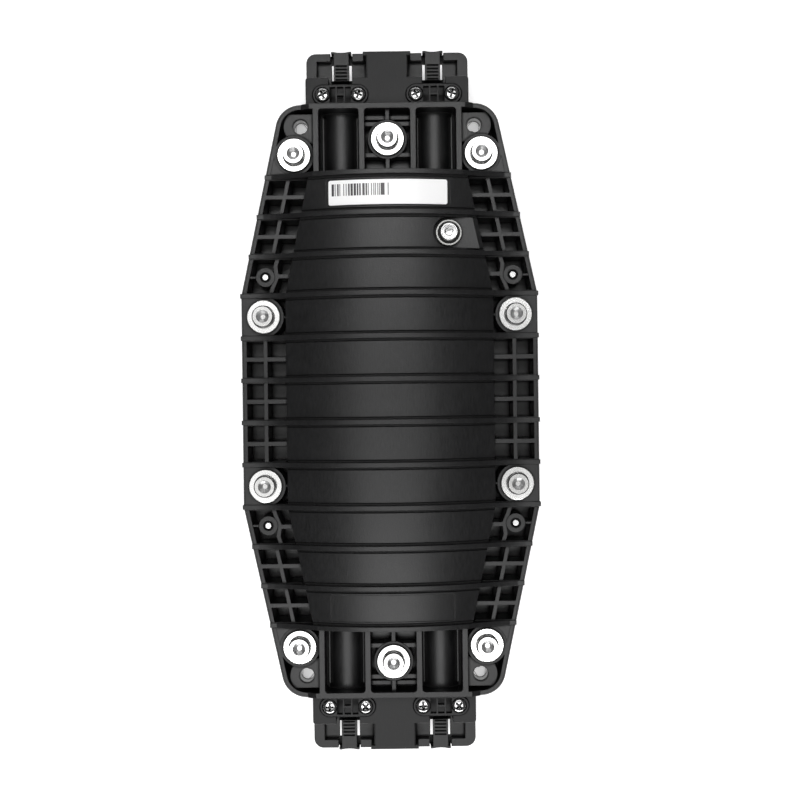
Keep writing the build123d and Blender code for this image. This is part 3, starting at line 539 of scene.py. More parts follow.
@dataclass(frozen=True)
class LabelFilm:
    """White label film with a satin top coat and a field of plain bars.

    Attributes:
        name: Name of the material.
        colour: Tone of the film.
        fibre_shade: Share of that tone that its fibres keep.
        ink: Tone of the bars.
        bars_x: Left and right ends of the field in metres.
        bars_y: Near and far ends of the field in metres.
        pitch: Width of one bar or gap in metres.
        gaps: Share of the field that stays bare.
        fibre: Fibres in a metre.
        roughness: Roughness of the film.
        swing: How far the fibres move the roughness.
    """

    name: str
    colour: Colour = (0.94, 0.94, 0.94)
    fibre_shade: float = 0.97
    ink: Colour = (0.045, 0.04, 0.045)
    bars_x: Pair = (-0.0336, 0.0006)
    bars_y: Pair = (0.1213, 0.1284)
    pitch: float = 0.00047
    gaps: float = 0.46
    fibre: float = 900.0
    roughness: float = 0.34
    swing: float = 0.12

    def build(self) -> bpy.types.Material:
        """Make the material.

        Returns:
            The new material.
        """
        g = SurfaceGraph(self.name)
        x, y, _ = g.axes()
        (left, right), (near, far) = self.bars_x, self.bars_y
        fibre = g.noise(self.fibre, 4.0)
        column = (x / self.pitch).math("FLOOR")
        settings = {"noise_dimensions": "1D"}
        chance = g.add("ShaderNodeTexWhiteNoise", settings, {"W": column}, "Value")
        inside = (x > left) * (x < right) * (y > near) * (y < far)
        paper = g.mix(fibre, self.colour, shade(self.colour, self.fibre_shade))
        g.set(
            Base_Color=g.mix((chance > self.gaps) * inside, paper, self.ink),
            Roughness=self.roughness + fibre * self.swing,
            Coat_Weight=0.2,
        )
        g.bump(fibre, strength=0.06, distance=0.00005)
        return g.material


@dataclass(frozen=True)
class TrayPlastic:
    """Light injection-moulded plastic of the inner pieces."""

    name: str
    colour: Colour = (0.55, 0.56, 0.55)
    cloud_shade: float = 0.85
    cloud: float = 40.0
    grain: float = 1500.0
    roughness: float = 0.36
    swing: float = 0.15
    alpha: float = 1.0

    def build(self) -> bpy.types.Material:
        """Make the material.

        Returns:
            The new material.
        """
        g = SurfaceGraph(self.name)
        cloud = g.noise(self.cloud, 3.0)
        grain = g.noise(self.grain, 2.0)
        g.set(
            Base_Color=g.mix(cloud, self.colour, shade(self.colour, self.cloud_shade)),
            Roughness=self.roughness + grain * self.swing,
            Alpha=self.alpha,
        )
        g.bump(grain, strength=0.15, distance=0.0001)
        return g.material


@dataclass(frozen=True)
class WovenStrap:
    """Woven hook-and-loop strap.

    Attributes:
        name: Name of the material.
        dark: Tone between the threads.
        light: Tone of the threads.
        thread: Turn of the weave in radians for each metre.
        fuzz: Loose fibres in a metre.
        fuzz_share: Weight of those fibres in tone and relief.
        roughness: Roughness of the cloth.
    """

    name: str
    dark: Colour = (0.012, 0.012, 0.012)
    light: Colour = (0.05, 0.05, 0.05)
    thread: float = 5200.0
    fuzz: float = 2400.0
    fuzz_share: float = 0.4
    roughness: float = 0.85

    def build(self) -> bpy.types.Material:
        """Make the material.

        Returns:
            The new material.
        """
        g = SurfaceGraph(self.name)
        x, y, _ = g.axes()
        weave = (x * self.thread).math("SINE") * (y * self.thread).math("SINE") * 0.5 + 0.5
        fuzz = g.noise(self.fuzz, 3.0) * self.fuzz_share
        g.set(
            Base_Color=g.mix(weave * (1.0 - self.fuzz_share) + fuzz, self.dark, self.light),
            Roughness=self.roughness,
        )
        g.bump(weave + fuzz, strength=0.6, distance=0.0002)
        return g.material


class Finish(Enum):
    """Named finishes of the closure."""

    SHELL = MouldedPlastic("shell_moulding")
    BRACKET = MouldedPlastic(
        "bracket_moulding",
        dark=(0.006, 0.006, 0.0063),
        light=(0.0125, 0.0125, 0.013),
        roughness=0.5,
        streak=1600.0,
    )
    SADDLE = MouldedPlastic(
        "saddle_moulding",
        dark=(0.0055, 0.0055, 0.0058),
        light=(0.012, 0.012, 0.0125),
        roughness=0.44,
        streak=1600.0,
        # Wider and stronger painted shade, which darkens the cells of the saddles.
        groove=0.007,
        shut_gain=4.0,
    )
    RUBBER = SoftRubber("seal_rubber")
    STEEL = TurnedMetal("bolt_steel", (0.62, 0.62, 0.61), worn=grey(0.44))
    WASHER = TurnedMetal(
        "washer_steel", (0.76, 0.76, 0.75), worn=grey(0.66), marks=1500.0, depth=0.04
    )
    BRIGHT = TurnedMetal("bright_plate", grey(0.78), roughness=0.14)
    DULL = TurnedMetal("recess_metal", grey(0.82), worn=grey(0.55), roughness=0.42)
    # Dark metal that paints shade into the crosses of the pan heads, onto the top edges of the
    # socket heads and round their feet on the washers.
    CROSS = TurnedMetal("painted_shade_metal", grey(0.09), worn=grey(0.04), roughness=0.4)
    NICKEL = TurnedMetal("valve_nickel", (0.34, 0.34, 0.33), worn=grey(0.2), roughness=0.38)
    CAP = TurnedMetal("cap_plate", grey(0.6), worn=grey(0.38), roughness=0.24)
    BRASS = TurnedMetal("brass", (0.74, 0.55, 0.26), worn=(0.45, 0.31, 0.12), roughness=0.28)
    BORE = BoreMetal("bore_metal")
    LABEL = LabelFilm("label_film")
    TRAY = TrayPlastic("tray_plastic")
    LID = TrayPlastic("lid_sheet", colour=(0.8, 0.84, 0.85), alpha=0.35)
    STRAP = WovenStrap("strap_weave")


@dataclass
class Wardrobe:
    """Keeps one material per finish and puts them on objects."""

    made: dict[Finish, bpy.types.Material] = field(default_factory=dict)

    def get(self, finish: Finish) -> bpy.types.Material:
        """Look up the material of a finish, made once.

        Args:
            finish: The finish.

        Returns:
            Its material.
        """
        if finish not in self.made:
            self.made[finish] = finish.value.build()
        return self.made[finish]

    def dress(self, thing: bpy.types.Object, finish: Finish) -> None:
        """Put a finish in every material slot of an object.

        Args:
            thing: Object to dress.
            finish: What it is made of.
        """
        material = self.get(finish)
        if not thing.data.materials:
            thing.data.materials.append(material)
        for slot in thing.material_slots:
            slot.material = material

    def dress_nodes(self, finish: Finish, *names: str) -> None:
        """Put a finish on CAD nodes.

        Args:
            finish: What they are made of.
            names: Names of the nodes.
        """
        for name in names:
            self.dress(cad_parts[name], finish)
            log.info("node %s: %s", name, finish.name.lower())


@dataclass(frozen=True)
class Spot:
    """Box round one solid of a CAD node, in millimetres."""

    low: Point
    high: Point

    @property
    def middle(self) -> Pair:
        """Middle of the box, seen from above."""
        return (self.low[0] + self.high[0]) / 2, (self.low[1] + self.high[1]) / 2

    @property
    def foot(self) -> Point:
        """Middle of the box's underside."""
        return (*self.middle, self.low[2])

    @property
    def radius(self) -> float:
        """Half the box's width."""
        return (self.high[0] - self.low[0]) / 2

    @property
    def height(self) -> float:
        """Height of the box."""
        return self.high[2] - self.low[2]


def solids_of(name: str) -> list[Spot]:
    """Find the separate solids of a CAD node.

    Args:
        name: Name of the node.

    Returns:
        A box round each solid, ordered by place.
    """
    mesh = bmesh.new()
    mesh.from_mesh(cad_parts[name].data)
    bmesh.ops.remove_doubles(mesh, verts=mesh.verts, dist=WELD)
    waiting = set(mesh.verts)
    spots = []
    while waiting:
        front = [waiting.pop()]
        found = list(front)
        while front:
            for edge in front.pop().link_edges:
                for vert in edge.verts:
                    if vert in waiting:
                        waiting.discard(vert)
                        front.append(vert)
                        found.append(vert)
        spans = [[v.co[axis] / MM for v in found] for axis in range(3)]
        spots.append(Spot(tuple(min(s) for s in spans), tuple(max(s) for s in spans)))
    mesh.free()
    return sorted(spots, key=lambda s: s.middle)


def off_axis(spot: Vector, axis: Pair) -> float:
    """Distance of a point from a vertical axis."""
    return math.dist((spot.x, spot.y), axis)


def add_object(name: str, mesh: BMesh) -> bpy.types.Object:
    """Put a mesh into the scene, its faces turned outward.

    Args:
        name: Name of the object.
        mesh: Its shape; freed here.

    Returns:
        The new object.
    """
    bmesh.ops.recalc_face_normals(mesh, faces=mesh.faces)
    data = bpy.data.meshes.new(name)
    mesh.to_mesh(data)
    mesh.free()
    thing = bpy.data.objects.new(name, data)
    bpy.context.scene.collection.objects.link(thing)
    return thing


def skin(mesh: BMesh, rings: list[list[bmesh.types.BMVert]], capped: bool = False) -> None:
    """Close the band between each two neighbouring rings; a ring of one vertex is a tip.

    Args:
        mesh: Mesh that holds the rings.
        rings: Vertices of each ring, from one end to the other.
        capped: Close the first and the last ring too.
    """
    if capped:
        mesh.faces.new(rings[0])
        mesh.faces.new(rings[-1])
    steps = max(len(ring) for ring in rings)
    for lower, upper in itertools.pairwise(rings):
        for step in range(steps):
            after = step + 1
            corners = (
                lower[step % len(lower)],
                lower[after % len(lower)],
                upper[after % len(upper)],
                upper[step % len(upper)],
            )
            unique = tuple(dict.fromkeys(corners))
            if len(unique) > 2:
                mesh.faces.new(unique)


class Section(Enum):
    """Plan of one row of a turned profile."""

    ROUND = "round"
    HEXAGON = "hexagon"
    KNURLED = "knurled"


ROUND, HEXAGON, KNURLED = Section
Row = tuple[float, float, Section]


def edge_rows(radius: float, height: float, profile: Profile) -> list[Row]:
    """Round rows of an edge.

    Args:
        radius: Radius in millimetres from which the edge is measured.
        height: Height in millimetres from which it is measured.
        profile: How far each row lies inward and below.

    Returns:
        One row for each step of the profile.
    """
    return [(radius - inward, height - down, ROUND) for inward, down in profile]


@dataclass
class Assembly:
    """Common ground of the sub-assemblies.

    Lengths are in millimetres, as in the solids.

    Attributes:
        wardrobe: Where the materials come from.
        body: Body that the pieces ride on.
        margin: Slack in millimetres when faces are chosen by their place.
        wall_tilt: Upward share of the normal of a face that counts as a recess's wall.
    """

    wardrobe: Wardrobe
    body: str = "housing"
    margin: float = 0.1
    wall_tilt: Pair = (-0.5, 0.99)

    def piece(
        self,
        name: str,
        mesh: BMesh,
        finish: Finish,
        smooth: float = 35.0,
        body: str | None = None,
        replaces: str | None = None,
    ) -> bpy.types.Object:
        """Turn a mesh into a dressed object that rides on a body.

        Args:
            name: Name of the piece.
            mesh: Its shape; freed here.
            finish: What it is made of.
            smooth: Angle in degrees up to which neighbouring faces shade as one.
            body: Body that it rides on, or this assembly's own.
            replaces: CAD node that it stands for.

        Returns:
            The new object.
        """
        thing = add_object(name, mesh)
        thing.data.shade_smooth()
        thing.data.set_sharp_from_angle(angle=math.radians(smooth))
        self.wardrobe.dress(thing, finish)
        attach(thing, body or self.body)
        if replaces:
            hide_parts(replaces)
        log.info("piece %s: %d faces", name, len(thing.data.polygons))
        return thing

    def paint(
        self, thing: bpy.types.Object, finish: Finish, chosen: Callable[[Vector, Vector], bool]
    ) -> None:
        """Give some faces of an object a second finish.

        Args:
            thing: Object to paint.
            finish: What those faces are made of.
            chosen: Says from a face's middle in millimetres and its normal whether it is one.
        """
        thing.data.materials.append(self.wardrobe.get(finish))
        last = len(thing.data.materials) - 1
        for face in thing.data.polygons:
            if chosen(face.center / MM, face.normal):
                face.material_index = last

    def dull_inside(
        self, thing: bpy.types.Object, axes: list[Pair], reach: float, deep: float
    ) -> None:
        """Give the faces inside recesses a duller finish.

        Args:
            thing: Object with the recesses.
            axes: Where the recesses stand, in millimetres.
            reach: Radius of a recess in millimetres.
            deep: Height in millimetres below which its faces count.
        """
        down, up = self.wall_tilt

        def inside(spot: Vector, normal: Vector) -> bool:
            """Whether a face is a wall of a recess."""
            near = any(off_axis(spot, axis) < reach for axis in axes)
            return near and spot.z < deep and down < normal.z < up

        self.paint(thing, Finish.DULL, inside)

    @staticmethod
    def lathe(rows: list[Row], steps: int = 48, knurl: float = 0.0) -> BMesh:
        """Turn a profile about a vertical axis.

        Args:
            rows: Radius and height in millimetres and plan of each row, end to end.
            steps: Number of steps round, a multiple of twelve.
            knurl: Depth of the grooves on knurled rows.

        Returns:
            The new mesh, its axis at the origin.
        """
        mesh = bmesh.new()
        rings = []
        half_side = math.pi / 6
        for radius, height, section in rows:
            ring = []
            for step in range(steps if radius else 1):
                turn = 2 * math.pi * step / steps
                reach = radius
                if section is HEXAGON:
                    off_flat = (turn + half_side) % (2 * half_side) - half_side
                    reach *= math.cos(half_side) / math.cos(off_flat)
                elif section is KNURLED:
                    reach -= knurl * (step % 2)
                spot = Vector((reach * math.cos(turn), reach * math.sin(turn), height))
                ring.append(mesh.verts.new(spot * MM))
            rings.append(ring)
        skin(mesh, rings)
        return mesh

    @staticmethod
    def carve(body: BMesh, tools: list[BMesh]) -> BMesh:
        """Cut meshes out of another.

        Args:
            body: Mesh to cut; freed here.
            tools: Meshes to cut away; freed here.

        Returns:
            What is left.
        """
        things = [add_object("carve", mesh) for mesh in (body, *tools)]
        for tool in things[1:]:
            cut = things[0].modifiers.new("cut", "BOOLEAN")
            cut.object = tool
            cut.solver = "EXACT"
        left = bmesh.new()
        left.from_object(things[0], bpy.context.evaluated_depsgraph_get())
        for thing in things:
            bpy.data.meshes.remove(thing.data)
        return left

    @staticmethod
    def wedge(top: Pair, foot: Pair, heights: Pair) -> BMesh:
        """Block that narrows downward.

        Args:
            top: Half sizes at the top in millimetres.
            foot: Half sizes at the foot.
            heights: Heights of the foot and the top.

        Returns:
            The new mesh, centred on the vertical axis.
        """
        mesh = bmesh.new()
        rings = []
        for (half_x, half_y), height in zip((foot, top), heights):
            corners = ((-half_x, -half_y), (half_x, -half_y), (half_x, half_y), (-half_x, half_y))
            rings.append([mesh.verts.new(Vector((x, y, height)) * MM) for x, y in corners])
        skin(mesh, rings, capped=True)
        return mesh

    @staticmethod
    def copies(mesh: BMesh, spots: list[Point], turn: float = 0.0) -> BMesh:
        """Put a copy of a mesh at each place.

        Args:
            mesh: Mesh to copy; freed here.
            spots: Places in millimetres.
            turn: Angle in degrees by which each copy is turned more than the last.

        Returns:
            One mesh with all the copies.
        """
        pattern = bpy.data.meshes.new("pattern")
        mesh.to_mesh(pattern)
        mesh.free()
        out = bmesh.new()
        for index, spot in enumerate(spots):
            known = len(out.verts)
            out.from_mesh(pattern)
            out.verts.ensure_lookup_table()
            spin = Matrix.Rotation(math.radians(index * turn), 4, "Z")
            place = Matrix.Translation(Vector(spot) * MM) @ spin
            bmesh.ops.transform(out, matrix=place, verts=out.verts[known:])
        bpy.data.meshes.remove(pattern)
        return out


@dataclass
class Housing(Assembly):
    """The two ribbed halves, their seal, pins and bushes, and the webs at the corners.

    Attributes:
        meeting: Height of the plane where the halves meet.
        rail_h: Height of the rail above that plane.
        floor_h: Height of the floor above it.
        rail_t: Thickness of the rail.
        straight: Distance from the middle at which the sides start to lean in.
        half_w: Half the width of the housing.
        taper: How much the sides lean in for each millimetre along.
        rib_foot: Distance from the middle of the foot of the last rib.
        bolt: Where the corner bolt stands.
        boss_r: Radius of its boss.
        lap: How far a web reaches into what it joins.
        web_sink: How far a web stays below the rail.
        arc_start: Angle in degrees at which the web's edge round the boss starts.
        arc_share: Share of the side's lean at which it ends.
        arc_steps: Number of steps in that edge.
    """

    meeting: float = 36.5
    rail_h: float = 22.0
    floor_h: float = 2.9
    rail_t: float = 3.0
    straight: float = 64.0
    half_w: float = 89.5
    taper: float = 0.215
    rib_foot: float = 137.0
    bolt: Pair = (56.48, 148.3)
    boss_r: float = 12.1
    lap: float = 0.12
    web_sink: float = 0.02
    arc_start: float = -90.0
    arc_share: float = 0.6
    arc_steps: int = 12

    def web_outline(self) -> list[Pair]:
        """Plan of a corner web: between the boss, the rail and the foot of the last rib.

        Returns:
            Corners in millimetres, once round.
        """
        x, y = self.bolt
        radius = self.boss_r - self.lap
        foot = self.rib_foot - self.lap
        first = math.radians(self.arc_start)
        sweep = math.atan(self.taper) * self.arc_share - first
        turns = [first + sweep * step / self.arc_steps for step in range(self.arc_steps + 1)]
        plan = [(x + radius * math.cos(turn), y + radius * math.sin(turn)) for turn in turns]
        rail = [
            (self.half_w - self.taper * (along - self.straight) - self.rail_t + self.lap, along)
            for along in (plan[-1][1], foot)
        ]
        return [*plan, *rail, (x, foot)]

    def corner_webs(self) -> BMesh:
        """Webs beside the four corner bosses of both halves, just under the rail's level.

        Returns:
            One mesh with all eight.
        """
        mesh = bmesh.new()
        outline = self.web_outline()
        levels = (self.floor_h, self.rail_h - self.web_sink)
        for side, end, half in itertools.product((-1, 1), repeat=3):
            heights = [self.meeting + half * level for level in levels]
            rings = [
                [mesh.verts.new(Vector((side * x, end * y, height)) * MM) for x, y in outline]
                for height in heights
            ]
            skin(mesh, rings, capped=True)
        return mesh

    def build(self) -> None:
        """Dress the nodes of the housing and add the corner webs."""
        self.wardrobe.dress_nodes(Finish.SHELL, "upper_shell", "lower_shell")
        self.wardrobe.dress_nodes(Finish.RUBBER, "shell_gasket", "cable_grommets")
        self.wardrobe.dress_nodes(Finish.BRIGHT, "locating_pins")
        self.wardrobe.dress_nodes(Finish.BORE, "corner_bushes")
        self.wardrobe.dress_nodes(Finish.BRASS, "threaded_inserts")
        self.piece("corner_webs", self.corner_webs(), Finish.SHELL)


@dataclass
class Fasteners(Assembly):
    """Low-headed socket screws of the housing and their washers.

    Attributes:
        head_r: Radius of a head.
        seat_h: Height of the plain head that each screw replaces.
        head_h: Height of a head.
        head_edge: Rounded edge on top of a head.
        knurl: Depth of the knurls on its side.
        knurl_top: Depth below its top at which they end.
        under_edge: Chamfer under a head.
        socket_r: Radius of the hexagon socket across its corners.
        socket_lead: Lead-in of the socket.
        socket_mouth: Radius from which that lead-in is measured.
        socket_start: Depth at which the hexagon starts.
        socket_depth: Depth of the hexagon.
        drill: Radii of the drill's mark below it.
        drill_h: Depth of that mark.
        shank_r: Radius of a shank.
        shank_lead: Width and height of the chamfer at its tip.
        gap: Width of the shaded ring round the foot of a head.
        hole_gap: Play of the washer on the shank.
        washer_foot: Chamfer on the washer's underside.
        washer_edge: Rounded edge on top of a washer.
        edge_shade_w: Width of the painted shade on the edge on top of a head.
        edge_shade_h: Height of the edge with that painted shade.
        edge_tilt: Upward share of the normal of a face that belongs to it.
        head_turn: Angle in degrees by which each screw is turned more than the last.
        steps: Number of steps round.
    """

    head_r: float = 6.5
    seat_h: float = 8.0
    head_h: float = 5.0
    head_edge: Profile = ((0.0, 0.9), (0.16, 0.3), (0.6, 0.0), (0.7, 0.0))
    knurl: float = 0.09
    knurl_top: float = 1.1
    under_edge: float = 0.3
    socket_r: float = 3.46
    socket_lead: Profile = ((-0.1, 0.0), (0.0, 0.0), (0.22, 0.3))
    socket_mouth: float = 3.85
    socket_start: float = 0.6
    socket_depth: float = 2.7
    drill: Point = (1.4, 1.3, 0.0)
    drill_h: float = 0.9
    shank_r: float = 3.95
    shank_lead: Pair = (0.6, 0.8)
    gap: float = 0.42
    hole_gap: float = 0.25
    washer_foot: float = 0.2
    washer_edge: Profile = ((0.0, 0.45), (0.13, 0.15), (0.45, 0.0), (0.6, 0.0))
    edge_shade_w: float = 0.45
    edge_shade_h: float = 1.2
    edge_tilt: Pair = (0.1, 0.98)
    head_turn: float = 17.0
    steps: int = 72

    def screw(self, length: float) -> BMesh:
        """One socket screw, with the top of its head at the origin.

        Args:
            length: Length below the head in millimetres.

        Returns:
            The new mesh.
        """
        under = -self.head_h
        tip = under - length
        lead_w, lead_h = self.shank_lead
        floor = -self.socket_depth
        rows = [(0.0, tip, ROUND), (self.shank_r - lead_w, tip, ROUND)]
        rows += [(self.shank_r, tip + lead_h, ROUND), (self.shank_r, under, ROUND)]
        rows.append((self.head_r - self.under_edge, under, ROUND))
        rows.append((self.head_r, under + self.under_edge, KNURLED))
        rows.append((self.head_r, -self.knurl_top, KNURLED))
        rows += edge_rows(self.head_r, 0.0, self.head_edge)
        rows += edge_rows(self.socket_mouth, 0.0, self.socket_lead)
        rows += [(self.socket_r, -self.socket_start, HEXAGON), (self.socket_r, floor, HEXAGON)]
        rows += [(radius, floor - self.drill_h, ROUND) for radius in self.drill]
        return self.lathe(rows, self.steps, self.knurl)

    def washer(self, spot: Spot) -> BMesh:
        """One washer with rounded edges, its foot at the origin.

        Args:
            spot: Box of the plain washer.

        Returns:
            The new mesh.
        """
        outer, thick = spot.radius, spot.height
        hole = self.shank_r + self.hole_gap
        rows = [(hole, 0.0, ROUND), (outer - self.washer_foot, 0.0, ROUND)]
        rows.append((outer, self.washer_foot, ROUND))
        rows += edge_rows(outer, thick, self.washer_edge)
        lands = (self.head_r + self.gap, self.head_r, hole + self.margin, hole)
        rows += [(radius, thick, ROUND) for radius in lands]
        rows.append((hole, 0.0, ROUND))
        return self.lathe(rows, self.steps)

    def build(self) -> None:
        """Put a screw and a washer over each solid of their nodes."""
        screws = solids_of("shell_bolts")
        axes = [s.middle for s in screws]
        tops = [(*s.middle, s.high[2] - self.seat_h + self.head_h) for s in screws]
        top = tops[0][2]
        mesh = self.copies(self.screw(screws[0].height - self.seat_h), tops, self.head_turn)
        heads = self.piece("socket_screws", mesh, Finish.STEEL, 20.0, replaces="shell_bolts")
        self.dull_inside(heads, axes, self.socket_mouth - self.margin, top - self.margin)
        low, high = self.edge_tilt

        def out(spot: Vector) -> float:
            """Distance of a face from the axis of its screw."""
            return min(off_axis(spot, axis) for axis in axes)

        def on_edge(spot: Vector, normal: Vector) -> bool:
            """Whether a face is part of the rounded edge on top of a head."""
            sloped = low < normal.z < high
            return sloped and out(spot) > self.head_r - self.edge_shade_w and spot.z > top - self.edge_shade_h

        def beside_head(spot: Vector, normal: Vector) -> bool:
            """Whether a face lies in the shaded ring round the foot of a head."""
            ring = self.head_r - self.margin < out(spot) < self.head_r + self.gap
            return ring and normal.z > high

        # Painted shade: the rounded edge on top of each head gets the dark metal.
        self.paint(heads, Finish.CROSS, on_edge)
        washers = solids_of("flat_washers")
        mesh = self.copies(self.washer(washers[0]), [s.foot for s in washers])
        rings = self.piece("round_washers", mesh, Finish.WASHER, 20.0, replaces="flat_washers")
        # Painted shadow: a dark ring on each washer round the foot of its head.
        self.paint(rings, Finish.CROSS, beside_head)


@dataclass
class Brackets(Assembly):
    """Cable brackets at both ends, with their cross-recessed screws.

    Attributes:
        head_r: Radius of a head.
        head_h: Height of a head.
        under_edge: Chamfer under a head.
        crown: Shares of a head's radius, and how far below its top as shares of its height.
        shank_r: Radius of a shank.
        arm: Half sizes of one bar of the cross at its top.
        arm_foot: Half sizes of that bar at its foot.
        recess: Depth of the cross.
        over: How far the cutter stands above the head.
        cross_r: Share of a head's radius that holds the cross.
        cross_top: Depth from which faces count as the cross.
        head_turn: Angle in degrees by which each screw is turned more than the last.
        port_x: Distance of a cable port from the middle.
        root_x: Distance of a tongue's root from the middle of its port.
        root_w: Width of a root.
        root_y: Where a root starts and ends along the closure.
        root_z: Heights of its foot and top.
    """

    head_r: float = 4.6
    head_h: float = 3.2
    under_edge: float = 0.2
    crown: Profile = (
        (1.0, 0.62),
        (0.985, 0.46),
        (0.93, 0.28),
        (0.82, 0.14),
        (0.68, 0.06),
        (0.5, 0.02),
        (0.25, 0.003),
        (0.0, 0.0),
    )
    shank_r: float = 2.45
    arm: Pair = (2.75, 0.8)
    arm_foot: Pair = (1.5, 0.5)
    recess: float = 2.2
    over: float = 0.3
    cross_r: float = 0.66
    cross_top: float = 0.3
    head_turn: float = 23.0
    port_x: float = 28.8
    root_x: float = 5.55
    root_w: float = 1.8
    root_y: Pair = (199.3, 203.4)
    root_z: Pair = (21.6, 24.6)

    def screw(self, length: float) -> BMesh:
        """One pan-head screw, with the top of its crown at the origin.

        Args:
            length: Length below the head in millimetres.

        Returns:
            The new mesh.
        """
        under = -self.head_h
        rows = [(0.0, under - length, ROUND), (self.shank_r, under - length, ROUND)]
        rows += [(self.shank_r, under, ROUND), (self.head_r - self.under_edge, under, ROUND)]
        rows.append((self.head_r, under + self.under_edge, ROUND))
        rows += [(self.head_r * out, -self.head_h * down, ROUND) for out, down in self.crown]
        heights = (-self.recess, self.over)
        across = self.wedge(self.arm, self.arm_foot, heights)
        along = self.wedge(self.arm[::-1], self.arm_foot[::-1], heights)
        return self.carve(self.lathe(rows), [across, along])

    def tongue_roots(self) -> BMesh:
        """Thin webs that close the inner ends of the slots beside the tongues.

        Returns:
            One mesh with all eight.
        """
        low, high = self.root_y
        half = (self.root_w / 2, (high - low) / 2)
        spots = [
            (side * self.port_x + edge * self.root_x, end * (low + high) / 2, 0.0)
            for side, end, edge in itertools.product((-1, 1), repeat=3)
        ]
        return self.copies(self.wedge(half, half, self.root_z), spots)

    def paint_cross_shade(self, heads: bpy.types.Object, screws: list[Spot]) -> None:
        """Paint shade on the walls and floors of the crosses, which lie below the crown of each
        head.

        Args:
            heads: Object with the screws.
            screws: Where they stand.
        """

        def sunk(spot: Vector, _: Vector) -> bool:
            """Whether a face is part of a cross.

            Args:
                spot: Middle of the face in millimetres.

            Returns:
                True for a wall or a floor of a cross.
            """
            near = min(screws, key=lambda s: off_axis(spot, s.middle))
            top = near.high[2]
            inside = off_axis(spot, near.middle) < self.cross_r * self.head_r
            return inside and top - self.head_h < spot.z < top - self.cross_top

        # Painted shade: the walls and floors of the crosses get the dark metal.
        self.paint(heads, Finish.CROSS, sunk)

    def build(self) -> None:
        """Dress the covers, saddles and nuts, and put a screw over each solid of its node."""
        self.wardrobe.dress_nodes(Finish.BRACKET, "bracket_cover_top", "bracket_cover_bottom")
        self.wardrobe.dress_nodes(Finish.SADDLE, "cable_saddles")
        self.wardrobe.dress_nodes(Finish.STEEL, "saddle_nuts")
        screws = solids_of("saddle_screws")
        tops = [(*s.middle, s.high[2]) for s in screws]
        mesh = self.copies(self.screw(screws[0].height - self.head_h), tops, self.head_turn)
        heads = self.piece("pan_head_screws", mesh, Finish.BRIGHT, replaces="saddle_screws")
        self.paint_cross_shade(heads, screws)
        self.piece("tongue_roots", self.tongue_roots(), Finish.SADDLE)


